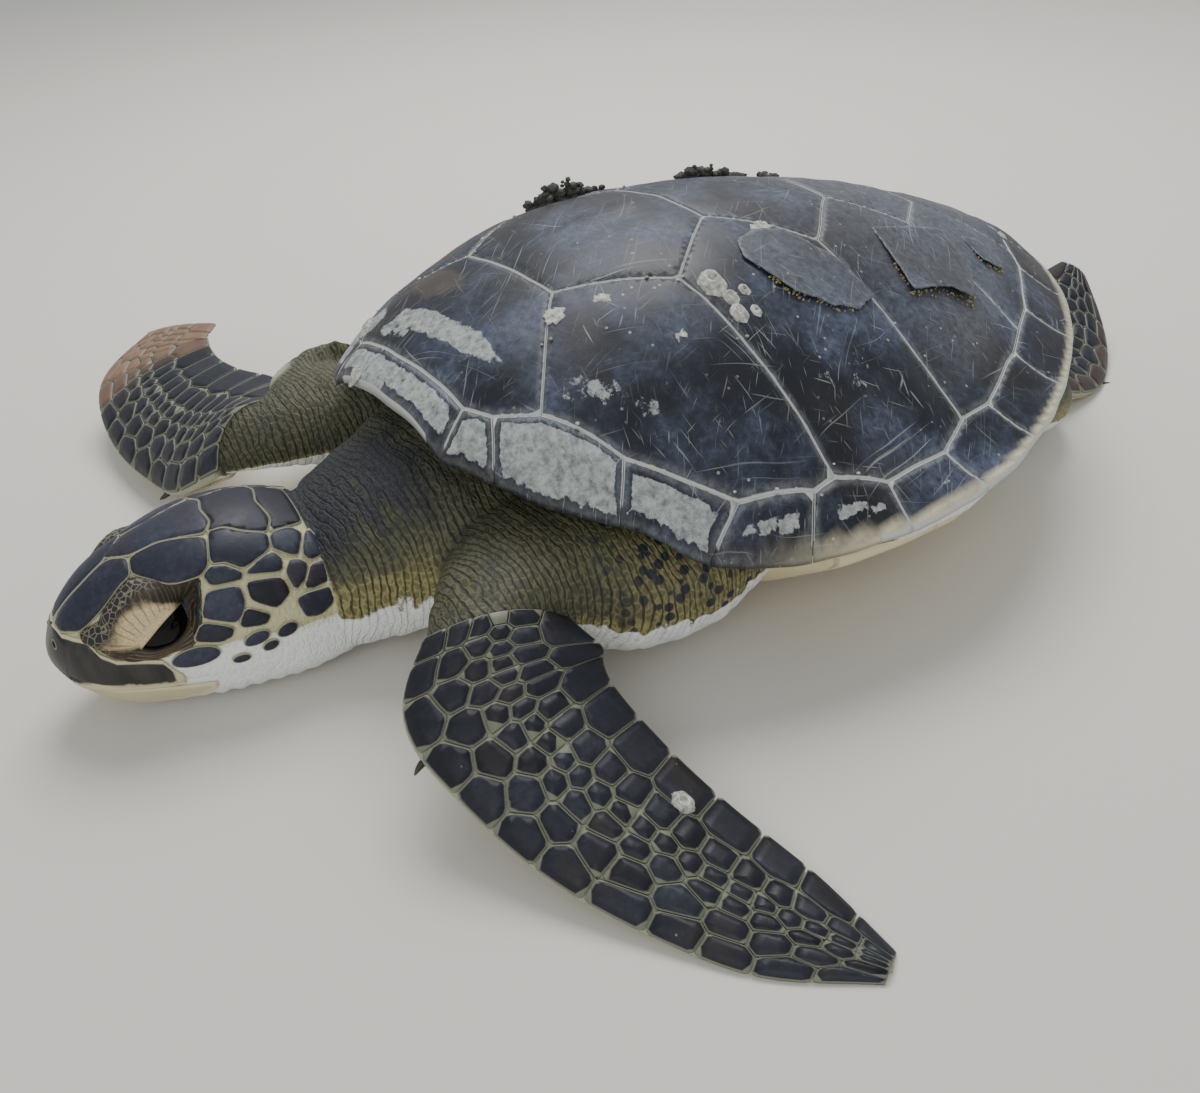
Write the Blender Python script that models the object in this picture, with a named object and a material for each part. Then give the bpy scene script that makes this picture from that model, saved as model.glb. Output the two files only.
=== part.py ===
"""A young green sea turtle at rest on the floor, life size: plated shell, head, neck, limbs and tail.

Metres, +Z up. The turtle faces -Y and its left side is +X. The floor is z = 0, and the origin lies
on it under the middle of the whole animal. Everything is built about the middle of the shell: the
shell level and then rolled a little to its right, as the animal lies, the limbs and the head where
they rest. A last step moves it all over the origin.
"""
from math import cos, exp, pi, radians, sin

import bmesh
import bpy
from mathutils import Matrix, Vector

# ---------------------------------------------------------------- driving sizes: the whole
UP = Vector((0.0, 0.0, 1.0))
MIDDLE = Vector((0.0141, 0.0246, 0.0))   # from the middle of the shell to the origin
ROLL = radians(3.5)         # the shell leans to its right by this much
LIFT = 0.0014               # and is raised so that only its right side is pressed flat
GAP = 0.0003                # kept between all neighbours
MERGE = 1e-6                # points nearer than this are one
SHARP = radians(35)         # edges turning more than this are drawn sharp
COLORS = {
    "shell_plate": ((0.035, 0.042, 0.060), 0.38),
    "shell_rim": ((0.045, 0.052, 0.072), 0.40),
    "belly_plate": ((0.80, 0.74, 0.55), 0.45),
    "skin": ((0.20, 0.19, 0.13), 0.62),
    "head_scales": ((0.050, 0.048, 0.050), 0.45),
    "flipper_scales": ((0.030, 0.034, 0.045), 0.48),
    "beak": ((0.10, 0.09, 0.07), 0.35),
    "jaw": ((0.72, 0.68, 0.54), 0.42),
    "eye": ((0.010, 0.010, 0.012), 0.08),
    "claw": ((0.45, 0.38, 0.27), 0.40),
}

# ---------------------------------------------------------------- driving sizes: form of the shell
# Except for its length, the sizes here are parts of that length, t running from 0 in front to 1 behind.
SHELL_LENGTH = 0.340        # straight length of the upper shell, nuchal to tail plates
HALF_WIDTH = 0.403          # widest half of the shell
WIDEST_AT = 0.49            # how far back the shell is widest
FRONT_NOTCH = 0.012         # where the rim crosses the middle in front
FRONT_ROUND = 2.2           # exponents of the outline: full in front, tapering behind
REAR_ROUND = 1.6
KEEL_HEIGHT = 0.375         # top of the dome over the belly plane
KEEL_AT = 0.40
KEEL_FRONT = (0.113, 0.37, 2.3)     # how far the keel drops in front, over what length, how suddenly
KEEL_REAR = (0.185, 0.60, 1.7)      # the same behind
RIM_SIDE = 0.125            # height of the rim along the flanks
RIM_FRONT_RISE = 0.115      # how much higher the rim stands over the neck
RIM_FRONT_SPAN = 0.13       # and how soon that is gone
RIM_SHOULDER_RISE = 0.022   # a slight lift of the rim over each arm
RIM_SHOULDER_AT = 0.135
RIM_SHOULDER_SPAN = 0.045
RIM_REAR_FROM = 0.4         # from here back the rim climbs
RIM_REAR_SLOPE = 0.09
REARWARD = (0.25, 0.30)     # where the dome changes from its front to its rear form, and over what length
DOME_ROUND = (2.7, 2.2)     # exponents of the dome across, in front and behind
DOME_FLARE = (1.0, 1.5)     # how it flares towards the rim, in front and behind

# ---------------------------------------------------------------- driving sizes: plates and belly
# Nearness to the rim is 1 on the outline of the shell and 0 in its middle.
PLATE = 0.0030              # horn plates over the dome
MARGINAL = 0.0090           # thickest part of the rim plates
RIM_EDGE = 0.0030           # thickness at the very edge
SWELL_FROM = (0.72, 0.14)   # nearness to the rim from which the plates thicken, and over how much
EDGE_FROM = (0.88, 0.12)    # and from which they thin out again
CELL = 0.018                # size of the facets on the plates
SNAP = 0.12                 # corners nearer to a facet's edge than this part of a cell are left alone
ARC_STEPS = 3               # pieces of each rim plate's outer edge
BELLY_PLATE = 0.0060
BELLY_FLAT = 0.52           # nearness to the rim up to which the belly is flat
BELLY_CURVE = 1.7
BELLY_CLEAR = 0.004         # the belly ends this far under the rim plates
LOBE = (0.56, 0.30)         # reach of the belly plate between its lobes, and how much more along them
BRIDGE = (0.80, 0.14)       # how far to the side its bridges begin, and over how much
BRIDGE_REACH = 0.93
BELLY_TOP_CLEAR = 0.0092    # how far its two faces stay under the trunk's top
BELLY_LOW_CLEAR = 0.0120
SEAMS = 12                  # rim plates on each side
RIM_STATIONS = (0.012, 0.029, 0.053, 0.126, 0.190, 0.280, 0.392, 0.495, 0.598, 0.706, 0.805, 0.890, 0.955)
INNER_SEAM = ((0.116, 0.066), (0.147, 0.080), (0.251, 0.155), (0.318, 0.235), (0.346, 0.307),
              (0.361, 0.391), (0.358, 0.477), (0.333, 0.573), (0.289, 0.670), (0.232, 0.761),
              (0.160, 0.842), (0.078, 0.905))
VERTEBRAL_FRONT = ((0.182, 0.112), (0.084, 0.198), (0.079, 0.398), (0.065, 0.591), (0.050, 0.760))
VERTEBRAL_SIDE = ((0.157, 0.302), (0.147, 0.502), (0.118, 0.675), (0.130, 0.862))
COSTAL_SEAM = ((0.344, 0.335), (0.340, 0.526), (0.262, 0.712))
LAST_REAR = (0.0, 0.925)

# ---------------------------------------------------------------- driving sizes: trunk
TRUNK_STEPS = 36
TRUNK_RINGS = 5
TRUNK_TUCK = 0.0022         # clearance of the trunk under the faceted plates
TRUNK_LEAST = 0.0035        # least thickness of the trunk
TRUNK_SWELL_FROM = (0.62, 0.12)     # it drops for the rim plates a little before they thicken
TRUNK_REACH = 0.955         # how far out it goes towards the rim
TRUNK_FRONT = (0.55, 0.075)         # from which heading in front it is shorter, and by how much
TRUNK_REAR = (0.60, 0.10)
TRUNK_TURN = 0.35           # over how much of the heading it shortens
TUCK = 0.0013               # clearance of the limbs and neck under the faceted plates
ROOM = 0.0012               # how much wider than a limb its room in the body is cut
RIM_ZONE = 0.84             # from here out the flesh stays below the rim's own edge
ON_RIM = 0.9999             # a place just inside the outline
RIM_CLEAR = 1.14            # and beyond this may rise past it, by so much per outline
RIM_RISE = 0.30
RIM_STRIDE = 0.007          # the rim's height is felt this far along it

# ---------------------------------------------------------------- driving sizes: sections of flesh
PROFILE = 14                # points round a section
ROUND = 2.2                 # exponent of a round section
ROUND_ABOVE = 2.25          # and the fullest the upper half may be
BLADE_SWELL = (1.35, 0.5, 0.8, 0.10)    # a blade's thickness across: size, two exponents, least
BLADE_ARCH = 0.35           # rise of its middle, in thicknesses

# ---------------------------------------------------------------- driving sizes: head and neck
HEAD_BACK = Vector((-0.0125, -0.194, 0.0))   # on the floor under the joint of head and neck
HEAD_TIP = Vector((-0.022, -0.288, 0.0))    # under the tip of the beak
HEAD_TOP = (0.0545, 0.0610, 0.0635, 0.0625, 0.0590, 0.0515, 0.0355)
HEAD_LOW = (0.0015, -0.0010, -0.0010, -0.0006, 0.0018, 0.0065, 0.0225)
HEAD_HALF = (0.0365, 0.0370, 0.0348, 0.0310, 0.0255, 0.0185, 0.0085)
HEAD_RINGS = 13
MOUTH_BACK = 0.36           # share of the head's length where the mouth ends
MOUTH_HEIGHT = 0.0150       # height of the mouth line at its corner
MOUTH_TIP_HEIGHT = 0.0195
BEAK_BACK = 0.56            # share of the head's length where the upper beak begins
BEAK_DEPTH = 0.0085
EYE_SHARE = 0.615
EYE_HEIGHT = 0.0395
EYE_OUT = 0.0190            # distance of the eyeball's centre from the middle of the head
EYE_RADIUS = 0.0110
EYE_SEGMENTS = 12
EYE_RINGS = 7
HEAD_LEVEL = 0.42           # height of the head's widest place between its chin and its crown
HEAD_FULLNESS = 3.0         # exponent of its lower half, flattened where the chin rests
NECK_POINTS = (Vector((0.000, -0.118, 0.044)), Vector((-0.002, -0.148, 0.044)),
               Vector((-0.007, -0.172, 0.037)), Vector((-0.0124, -0.1937, 0.0290)))
NECK_HALF = (0.050, 0.052, 0.043, 0.0365)
NECK_ABOVE = (0.030, 0.032, 0.030, 0.0255)
NECK_BELOW = (0.038, 0.039, 0.036, 0.0270)
NECK_RINGS = 8

# ---------------------------------------------------------------- driving sizes: limbs and tail
CLAW_LENGTH = 0.0065
CLAW_RADIUS = 0.0014
CLAW_POINT = 0.18           # radius of its tip, in parts of its base
CLAW_RINGS = 4
CLAW_DROP = 0.0010          # the claws sit a little under the leading edge
CLAW_SUNK = 0.003           # and start this far inside it
CLAW_HOOK = 0.35            # how far they bend towards the tip, and how far they point out
CLAW_OUT = 0.90
BLADE_RINGS = 11
ROOT_RINGS = 7
ROOT_REACH = 0.92           # share of the upper part's line that its own rings cover
LEFT_ARM_HALF = (0.014, 0.037, 0.042, 0.034, 0.023)
RIGHT_ARM_HALF = (0.036, 0.042, 0.038, 0.023)
LEFT_ARM_HEIGHT = (0.012, 0.026, 0.030, 0.026, 0.014)
RIGHT_ARM_HEIGHT = (0.026, 0.030, 0.025, 0.014)
BLADE_CHORD = (0.046, 0.065, 0.060, 0.055, 0.047, 0.036, 0.010)
BROAD_CHORD = (0.046, 0.065, 0.064, 0.063, 0.061, 0.056, 0.042)
BLADE_THICK = (0.024, 0.019, 0.015, 0.0115, 0.0085, 0.0060, 0.0035)
THIGH_HALF = (0.034, 0.030, 0.017)
THIGH_HEIGHT = (0.024, 0.020, 0.011)
FOOT_CHORD = (0.034, 0.044, 0.052, 0.053, 0.049, 0.036, 0.014)
FOOT_THICK = (0.020, 0.015, 0.012, 0.0100, 0.0080, 0.0060, 0.0035)
# Each limb: its three nodes; line, half-widths and half-heights of its upper part; line, tilts, chords
# and thicknesses of its blade; which way the trailing edge lies; how far along the blade its claw sits.
LIMBS = (
    (("arm_left", "flipper_left", "claw_front_left"),
     (Vector((0.084, -0.052, 0.036)), Vector((0.072, -0.082, 0.036)), Vector((0.063, -0.112, 0.037)),
      Vector((0.063, -0.143, 0.040)), Vector((0.0815, -0.1720, 0.0455))),
     LEFT_ARM_HALF, LEFT_ARM_HEIGHT,
     (Vector((0.0815, -0.1720, 0.0455)), Vector((0.1040, -0.1790, 0.0300)), Vector((0.1400, -0.1720, 0.0140)),
      Vector((0.1830, -0.1560, 0.0034)), Vector((0.2225, -0.1370, 0.0004))),
     (-0.10, 0.10, 0.18, 0.10, 0.02), BLADE_CHORD, BLADE_THICK, Vector((0, 1, 0)), 0.24),
    (("arm_right", "flipper_right", "claw_front_right"),
     (Vector((-0.074, -0.079, 0.033)), Vector((-0.091, -0.108, 0.0365)), Vector((-0.099, -0.139, 0.040)),
      Vector((-0.0930, -0.1800, 0.0400))),
     RIGHT_ARM_HALF, RIGHT_ARM_HEIGHT,
     (Vector((-0.0930, -0.1800, 0.0400)), Vector((-0.1340, -0.1915, 0.0285)),
      Vector((-0.1800, -0.1970, 0.0260)), Vector((-0.2190, -0.1900, 0.0310)),
      Vector((-0.2370, -0.1680, 0.0370))),
     (0.30, 0.55, 0.50, 0.33, 0.20), BROAD_CHORD, BLADE_THICK, Vector((0, 1, 0)), 0.24),
    (("thigh_left", "foot_left", "claw_hind_left"),
     (Vector((0.052, 0.083, 0.0315)), Vector((0.0575, 0.111, 0.0235)), Vector((0.0490, 0.1380, 0.0105))),
     THIGH_HALF, THIGH_HEIGHT,
     (Vector((0.0490, 0.1380, 0.0105)), Vector((0.0395, 0.1700, 0.0072)), Vector((0.0225, 0.2030, 0.0155)),
      Vector((0.0030, 0.2320, 0.0300))),
     (0.0, 0.25, 0.45, 0.50), FOOT_CHORD, FOOT_THICK, Vector((-1, 0, 0)), 0.40),
    (("thigh_right", "foot_right", "claw_hind_right"),
     (Vector((-0.056, 0.086, 0.030)), Vector((-0.064, 0.114, 0.020)), Vector((-0.0630, 0.1440, 0.0095))),
     THIGH_HALF, THIGH_HEIGHT,
     (Vector((-0.0630, 0.1440, 0.0095)), Vector((-0.0720, 0.1800, 0.0042)), Vector((-0.0740, 0.2100, 0.0020)),
      Vector((-0.0680, 0.2380, 0.0010))),
     (0.0, 0.05, 0.05, 0.02), FOOT_CHORD, FOOT_THICK, Vector((1, 0, 0)), 0.40),
)
TAIL_POINTS = (Vector((0.000, 0.100, 0.030)), Vector((0.001, 0.145, 0.024)), Vector((0.003, 0.186, 0.013)))
TAIL_HALF = (0.014, 0.011, 0.003)
TAIL_HEIGHT = (0.015, 0.010, 0.003)
TAIL_RINGS = 8


# ---------------------------------------------------------------- scene and objects
def clear_scene():
    for item in list(bpy.data.objects):
        bpy.data.objects.remove(item, do_unlink=True)


def material(name):
    found = bpy.data.materials.get(name)
    if found:
        return found
    color, roughness = COLORS[name]
    made = bpy.data.materials.new(name)
    made.use_nodes = True
    shader = made.node_tree.nodes["Principled BSDF"]
    shader.inputs["Base Color"].default_value = (*color, 1.0)
    shader.inputs["Roughness"].default_value = roughness
    shader.inputs["Metallic"].default_value = 0.0
    return made


def add_object(name, bm, slot, parent=None, smooth=True):
    bmesh.ops.remove_doubles(bm, verts=bm.verts, dist=MERGE)
    bmesh.ops.recalc_face_normals(bm, faces=bm.faces)
    mesh = bpy.data.meshes.new(name)
    bm.to_mesh(mesh)
    bm.free()
    if smooth:
        mesh.shade_smooth()
        mesh.set_sharp_from_angle(angle=SHARP)
    mesh.materials.append(material(slot))
    made = bpy.data.objects.new(name, mesh)
    bpy.context.scene.collection.objects.link(made)
    made.parent = parent
    return made


def add_cutter(name, bm, parent=None):
    cutter = add_object(name, bm, "skin", parent, smooth=False)
    cutter.hide_render = True
    cutter.display_type = "WIRE"
    return cutter


def cut_away(target, *cutters):
    for cutter in cutters:
        step = target.modifiers.new(f"clear_of_{cutter.name}", "BOOLEAN")
        step.operation = "DIFFERENCE"
        step.object = cutter
        step.solver = "EXACT"


def keep_inside(target, cutter):
    step = target.modifiers.new(f"inside_{cutter.name}", "BOOLEAN")
    step.operation = "INTERSECT"
    step.object = cutter
    step.solver = "EXACT"


# ---------------------------------------------------------------- small mathematics


def clamp(value, low=0.0, high=1.0):
    return max(low, min(high, value))


def smooth_step(value):
    value = clamp(value)
    return value * value * (3.0 - 2.0 * value)


def mix(a, b, share):
    return a + (b - a) * share


def through(points, share):
    """The point at share 0..1 along a Catmull-Rom curve through the given points or numbers."""
    spans = len(points) - 1
    place = clamp(share) * spans
    i = min(int(place), spans - 1)
    f = place - i
    p1, p2 = points[i], points[i + 1]
    p0 = points[i - 1] if i > 0 else p1 + (p1 - p2)
    p3 = points[i + 2] if i + 2 <= spans else p2 + (p2 - p1)
    return (p1 * 2.0 + (p2 - p0) * f + (p0 * 2.0 - p1 * 5.0 + p2 * 4.0 - p3) * (f * f)
            + (p1 * 3.0 - p0 - p2 * 3.0 + p3) * (f * f * f)) * 0.5


# ---------------------------------------------------------------- form of the shell
def rim_x(t):
    """Half-width of the outline at t, 0 at the front and 1 at the rear, in shell lengths."""
    if t < WIDEST_AT:
        share = (WIDEST_AT - t) / (WIDEST_AT - FRONT_NOTCH)
        power = FRONT_ROUND
    else:
        share = (t - WIDEST_AT) / (1.0 - WIDEST_AT)
        power = REAR_ROUND
    return HALF_WIDTH * max(0.0, 1.0 - clamp(share) ** power) ** (1.0 / power)


def rim_z(t):
    shoulder = RIM_SHOULDER_RISE * exp(-((t - RIM_SHOULDER_AT) / RIM_SHOULDER_SPAN) ** 2)
    front = RIM_FRONT_RISE * exp(-(t / RIM_FRONT_SPAN) ** 2)
    return RIM_SIDE + front + shoulder + RIM_REAR_SLOPE * max(0.0, t - RIM_REAR_FROM)


def keel_z(t):
    drop, length, power = KEEL_FRONT if t < KEEL_AT else KEEL_REAR
    return KEEL_HEIGHT - drop * (abs(t - KEEL_AT) / length) ** power


def dome_z(x, t):
    """Top of the shell, in shell lengths: domed in front, flaring towards the rim behind."""
    width = max(rim_x(t), 0.02)
    across = clamp(abs(x) / width)
    rearward = smooth_step((t - REARWARD[0]) / REARWARD[1])
    drop = (1.0 - across ** mix(*DOME_ROUND, rearward)) ** mix(*DOME_FLARE, rearward)
    return rim_z(t) + (keel_z(t) - rim_z(t)) * drop


def top(x, y):
    return SHELL_LENGTH * dome_z(x / SHELL_LENGTH, clamp(y / SHELL_LENGTH + 0.5, FRONT_NOTCH, 1.0))


def nearness_to_rim(x, y):
    """1 on the outline of the shell, falling to 0 in the middle."""
    t = y / SHELL_LENGTH + 0.5
    reach = Vector((x / SHELL_LENGTH, t - WIDEST_AT))
    if reach.length < 1e-6:
        return 0.0
    half = (WIDEST_AT - FRONT_NOTCH) if reach.y < 0 else (1.0 - WIDEST_AT)
    power = FRONT_ROUND if reach.y < 0 else REAR_ROUND
    total = (abs(reach.x) / HALF_WIDTH) ** power + (abs(reach.y) / half) ** power
    return total ** (1.0 / power)


def plate_depth(x, y):
    """Thickness of the plates: thin over the dome, a wedge along the rim."""
    near = nearness_to_rim(x, y)
    swell = mix(PLATE, MARGINAL, smooth_step((near - SWELL_FROM[0]) / SWELL_FROM[1]))
    return mix(swell, RIM_EDGE, smooth_step((near - EDGE_FROM[0]) / EDGE_FROM[1]))


def plate_under(x, y):
    return top(x, y) - plate_depth(x, y)


def belly(x, y):
    """Underside of the body: flat on the floor, rising to just under the rim."""
    t = clamp(y / SHELL_LENGTH + 0.5, FRONT_NOTCH, 1.0)
    near = nearness_to_rim(x, y)
    edge = SHELL_LENGTH * rim_z(t) - RIM_EDGE - BELLY_CLEAR
    return mix(0.0, edge, clamp((near - BELLY_FLAT) / (1.0 - BELLY_FLAT)) ** BELLY_CURVE)


# ---------------------------------------------------------------- plates cut from the dome
def seam_point(x, t):
    return Vector((x * SHELL_LENGTH, (t - 0.5) * SHELL_LENGTH))


def rim_point(index, side):
    """Place on the outline of the seam behind rim plate number index; 12 is the tail notch."""
    if index == SEAMS:
        return seam_point(0.0, 1.0)
    t = RIM_STATIONS[index + 1] if index > 0 else RIM_STATIONS[1]
    return seam_point(side * rim_x(t), t)


def inner_point(index, side):
    if index == SEAMS:
        return seam_point(*LAST_REAR)
    x, t = INNER_SEAM[index]
    return seam_point(side * x, t)


def rim_arc(first, last, side):
    """Points along the outline between two seams of the rim."""
    points = [rim_point(first, side)]
    t_first, t_last = (p.y / SHELL_LENGTH + 0.5 for p in (points[0], rim_point(last, side)))
    for k in range(1, ARC_STEPS):
        t = mix(t_first, t_last, k / ARC_STEPS)
        if last == SEAMS:
            t = 1.0 - (1.0 - t_first) * (1.0 - k / ARC_STEPS) ** 1.5
        points.append(seam_point(side * rim_x(t), t))
    points.append(rim_point(last, side))
    return points


def plate_outlines():
    """Every plate's name and its outline seen from above."""
    sides = (("left", 1), ("right", -1))
    outlines = {}
    front = [seam_point(0.0, FRONT_NOTCH + 0.018)]
    outlines["nuchal"] = [rim_point(0, 1), inner_point(0, 1), inner_point(0, -1), rim_point(0, -1)] + front
    for number in range(1, 6):
        left, right = ([], [])
        for side, chain in ((1, left), (-1, right)):
            if number == 1:
                chain += [inner_point(0, side), inner_point(1, side)]
            chain.append(seam_point(side * VERTEBRAL_FRONT[number - 1][0], VERTEBRAL_FRONT[number - 1][1]))
            if number > 1:
                chain.append(seam_point(side * VERTEBRAL_SIDE[number - 2][0], VERTEBRAL_SIDE[number - 2][1]))
            if number < 5:
                chain.append(seam_point(side * VERTEBRAL_FRONT[number][0], VERTEBRAL_FRONT[number][1]))
            if number == 5:
                chain.append(inner_point(11, side))
        end = [inner_point(SEAMS, 1)] if number == 5 else []
        outlines[f"vertebral_{number}"] = left + end + right[::-1]
    for word, side in sides:
        at = {k: seam_point(side * x, t) for k, (x, t) in enumerate(COSTAL_SEAM)}
        v_front = [seam_point(side * x, t) for x, t in VERTEBRAL_FRONT]
        v_side = [seam_point(side * x, t) for x, t in VERTEBRAL_SIDE]
        ring = [inner_point(i, side) for i in range(12)]
        outlines[f"costal_1_{word}"] = [v_front[0], ring[2], ring[3], ring[4], at[0], v_side[0], v_front[1]]
        outlines[f"costal_2_{word}"] = [at[0], ring[5], ring[6], at[1], v_side[1], v_front[2], v_side[0]]
        outlines[f"costal_3_{word}"] = [at[1], ring[7], ring[8], at[2], v_side[2], v_front[3], v_side[1]]
        outlines[f"costal_4_{word}"] = [at[2], ring[9], ring[10], v_side[3], v_front[4], v_side[2]]
        extra = {1: [v_front[0]], 4: [at[0]], 6: [at[1]], 8: [at[2]], 10: [v_side[3]]}
        for index in range(SEAMS):
            inner = [inner_point(index, side), *extra.get(index, []), inner_point(index + 1, side)]
            outlines[f"marginal_{index + 1}_{word}"] = rim_arc(index, index + 1, side) + inner[::-1]
    return outlines


def inset_outline(points, amount):
    """The outline moved inwards by amount, each corner along its own bisector."""
    area = sum(a.x * b.y - b.x * a.y for a, b in zip(points, points[1:] + points[:1]))
    turn = 1.0 if area > 0 else -1.0
    moved = []
    for i, here in enumerate(points):
        to_here = (here - points[i - 1]).normalized()
        onward = (points[(i + 1) % len(points)] - here).normalized()
        normals = [Vector((-d.y, d.x)) * turn for d in (to_here, onward)]
        bisector = normals[0] + normals[1]
        moved.append(here + bisector * (amount / max(0.4, bisector.dot(normals[0]))))
    return moved


def slab(outline, upper, lower):
    """A closed body over the outline, faceted in cells, between two height functions."""
    bm = bmesh.new()
    bm.faces.new([bm.verts.new((p.x, p.y, 0.0)) for p in outline])
    lows = [min(p[k] for p in outline) for k in (0, 1)]
    highs = [max(p[k] for p in outline) for k in (0, 1)]
    for axis in (0, 1):
        count = max(1, round((highs[axis] - lows[axis]) / CELL))
        for step in range(1, count):
            place = [0.0, 0.0, 0.0]
            place[axis] = mix(lows[axis], highs[axis], step / count)
            normal = [0.0, 0.0, 0.0]
            normal[axis] = 1.0
            parts = bm.verts[:] + bm.edges[:] + bm.faces[:]
            bmesh.ops.bisect_plane(bm, geom=parts, dist=CELL * SNAP, plane_co=place, plane_no=normal)
    bmesh.ops.triangulate(bm, faces=bm.faces, quad_method="BEAUTY", ngon_method="BEAUTY")
    sheet = bm.faces[:]
    raised = bmesh.ops.extrude_face_region(bm, geom=sheet, use_keep_orig=True)
    lifted = {item for item in raised["geom"] if isinstance(item, bmesh.types.BMVert)}
    for vert in bm.verts:
        level = upper if vert in lifted else lower
        vert.co.z = level(vert.co.x, vert.co.y)
    return bm


def make_plates(shell):
    for name, outline in plate_outlines().items():
        slot = "shell_rim" if name.startswith(("marginal", "nuchal")) else "shell_plate"
        add_object(name, slab(inset_outline(outline, GAP / 2), top, plate_under), slot, shell)


# ---------------------------------------------------------------- body inside the plates


def trunk_reach(angle):
    """How far out the body goes towards the rim: short at the neck, the arms and the tail."""
    front = smooth_step((-cos(angle) - TRUNK_FRONT[0]) / TRUNK_TURN)
    rear = smooth_step((cos(angle) - TRUNK_REAR[0]) / TRUNK_TURN)
    return TRUNK_REACH - TRUNK_FRONT[1] * front - TRUNK_REAR[1] * rear


def outline_at(angle, reach):
    """A point of the shell's outline scaled by reach; angle 0 points to the rear."""
    back, out = cos(angle), sin(angle)
    half = SHELL_LENGTH * ((1.0 - WIDEST_AT) if back > 0 else (WIDEST_AT - FRONT_NOTCH))
    power = REAR_ROUND if back > 0 else FRONT_ROUND
    size = (abs(out) ** power + abs(back) ** power) ** (-1.0 / power) * reach
    middle = (WIDEST_AT - 0.5) * SHELL_LENGTH
    return Vector((out * size * HALF_WIDTH * SHELL_LENGTH, middle + back * size * half))


def disc(reach, upper, lower):
    """A closed round body whose rings follow the outline of the shell."""
    bm = bmesh.new()
    steps = TRUNK_STEPS
    layers = []
    for level in (lower, upper):
        middle = outline_at(0.0, 0.0)
        hub = bm.verts.new((middle.x, middle.y, level(middle.x, middle.y)))
        rows = []
        for ring in range(1, TRUNK_RINGS + 1):
            share = ring / TRUNK_RINGS
            places = [outline_at(2 * pi * k / steps, share * reach(2 * pi * k / steps)) for k in range(steps)]
            rows.append([bm.verts.new((p.x, p.y, level(p.x, p.y))) for p in places])
        layers.append((hub, rows))
    for hub, rows in layers:
        for k in range(steps):
            bm.faces.new((hub, rows[0][k], rows[0][(k + 1) % steps]))
            for inner, outer in zip(rows, rows[1:]):
                j = (k + 1) % steps
                bm.faces.new((inner[k], outer[k], outer[j], inner[j]))
    low, high = layers[0][1][-1], layers[1][1][-1]
    for k in range(steps):
        j = (k + 1) % steps
        bm.faces.new((low[k], low[j], high[j], high[k]))
    return bm


def trunk_top(x, y):
    """Under the plates, drawn in a little before the rim plates thicken."""
    near = nearness_to_rim(x, y)
    swell = mix(PLATE, MARGINAL, smooth_step((near - TRUNK_SWELL_FROM[0]) / TRUNK_SWELL_FROM[1]))
    return min(plate_under(x, y), top(x, y) - swell) - TRUNK_TUCK


def trunk_low(x, y):
    return min(belly(x, y) + BELLY_PLATE + 2 * TRUNK_TUCK, trunk_top(x, y) - TRUNK_LEAST)


def plastron_reach(angle):
    """The belly plate: lobes in front and behind, joined to the rim by bridges at the sides."""
    side = abs(sin(angle))
    lobe = LOBE[0] + LOBE[1] * abs(cos(angle)) ** 3
    return mix(lobe, BRIDGE_REACH, smooth_step((side - BRIDGE[0]) / BRIDGE[1]))


def plastron_top(x, y):
    return min(belly(x, y) + BELLY_PLATE, trunk_top(x, y) - BELLY_TOP_CLEAR)


def plastron_low(x, y):
    return min(belly(x, y), trunk_top(x, y) - BELLY_LOW_CLEAR)


# ---------------------------------------------------------------- lofted flesh


def ring_points(center, side, up, half_side, above, below, fullness=ROUND):
    """A rounded section: half_side to each side, fuller underneath where fullness is over ROUND."""
    points = []
    for k in range(PROFILE):
        angle = 2 * pi * k / PROFILE
        c, s = cos(angle), sin(angle)
        power = fullness if s < 0 else min(fullness, ROUND_ABOVE)
        across = abs(c) ** (2 / power) * (1 if c > 0 else -1) * half_side
        height = abs(s) ** (2 / power) * (above if s > 0 else -below)
        points.append(center + side * across + up * height)
    return points


def blade_points(lead, trail, up, thick, grow=0.0):
    """A flipper's section: blunt leading edge, thin trailing edge, a little arched."""
    points = []
    size, rise, fall, least = BLADE_SWELL
    half = PROFILE // 2
    for k in range(PROFILE):
        share = 1.0 - abs(1.0 - k / half)
        place = 0.5 - 0.5 * cos(pi * share)
        swell = size * (place ** rise) * (1.0 - place) ** fall + least
        arch = BLADE_ARCH * thick * sin(pi * place)
        sign = 1.0 if 0 < k < half else -1.0
        if k in (0, half):
            sign = 0.0
        points.append(lead.lerp(trail, place) + up * (sign * (swell * thick * 0.5 + grow) + arch))
    return points


def loft(sections):
    """A closed body through rings of equal count, with flat ends."""
    bm = bmesh.new()
    rows = [[bm.verts.new(p) for p in ring] for ring in sections]
    for a, b in zip(rows, rows[1:]):
        for k in range(len(a)):
            j = (k + 1) % len(a)
            bm.faces.new((a[k], a[j], b[j], b[k]))
    bmesh.ops.triangulate(bm, faces=bm.faces, quad_method="FIXED")
    bm.faces.new(rows[0][::-1])
    bm.faces.new(rows[-1])
    return bm


def halve(bm, point, normal, keep_front):
    """Keep one side of a plane and close the cut."""
    parts = bm.verts[:] + bm.edges[:] + bm.faces[:]
    bmesh.ops.bisect_plane(bm, geom=parts, plane_co=point, plane_no=normal,
                           clear_inner=keep_front, clear_outer=not keep_front)
    bmesh.ops.holes_fill(bm, edges=[e for e in bm.edges if e.is_boundary])
    bmesh.ops.triangulate(bm, faces=bm.faces)
    return bm


def flatten_below(bm):
    """Cut the body off at the floor, which leaves the small flat it rests on."""
    return halve(bm, (0, 0, 0), (0, 0, 1), keep_front=True)


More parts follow.
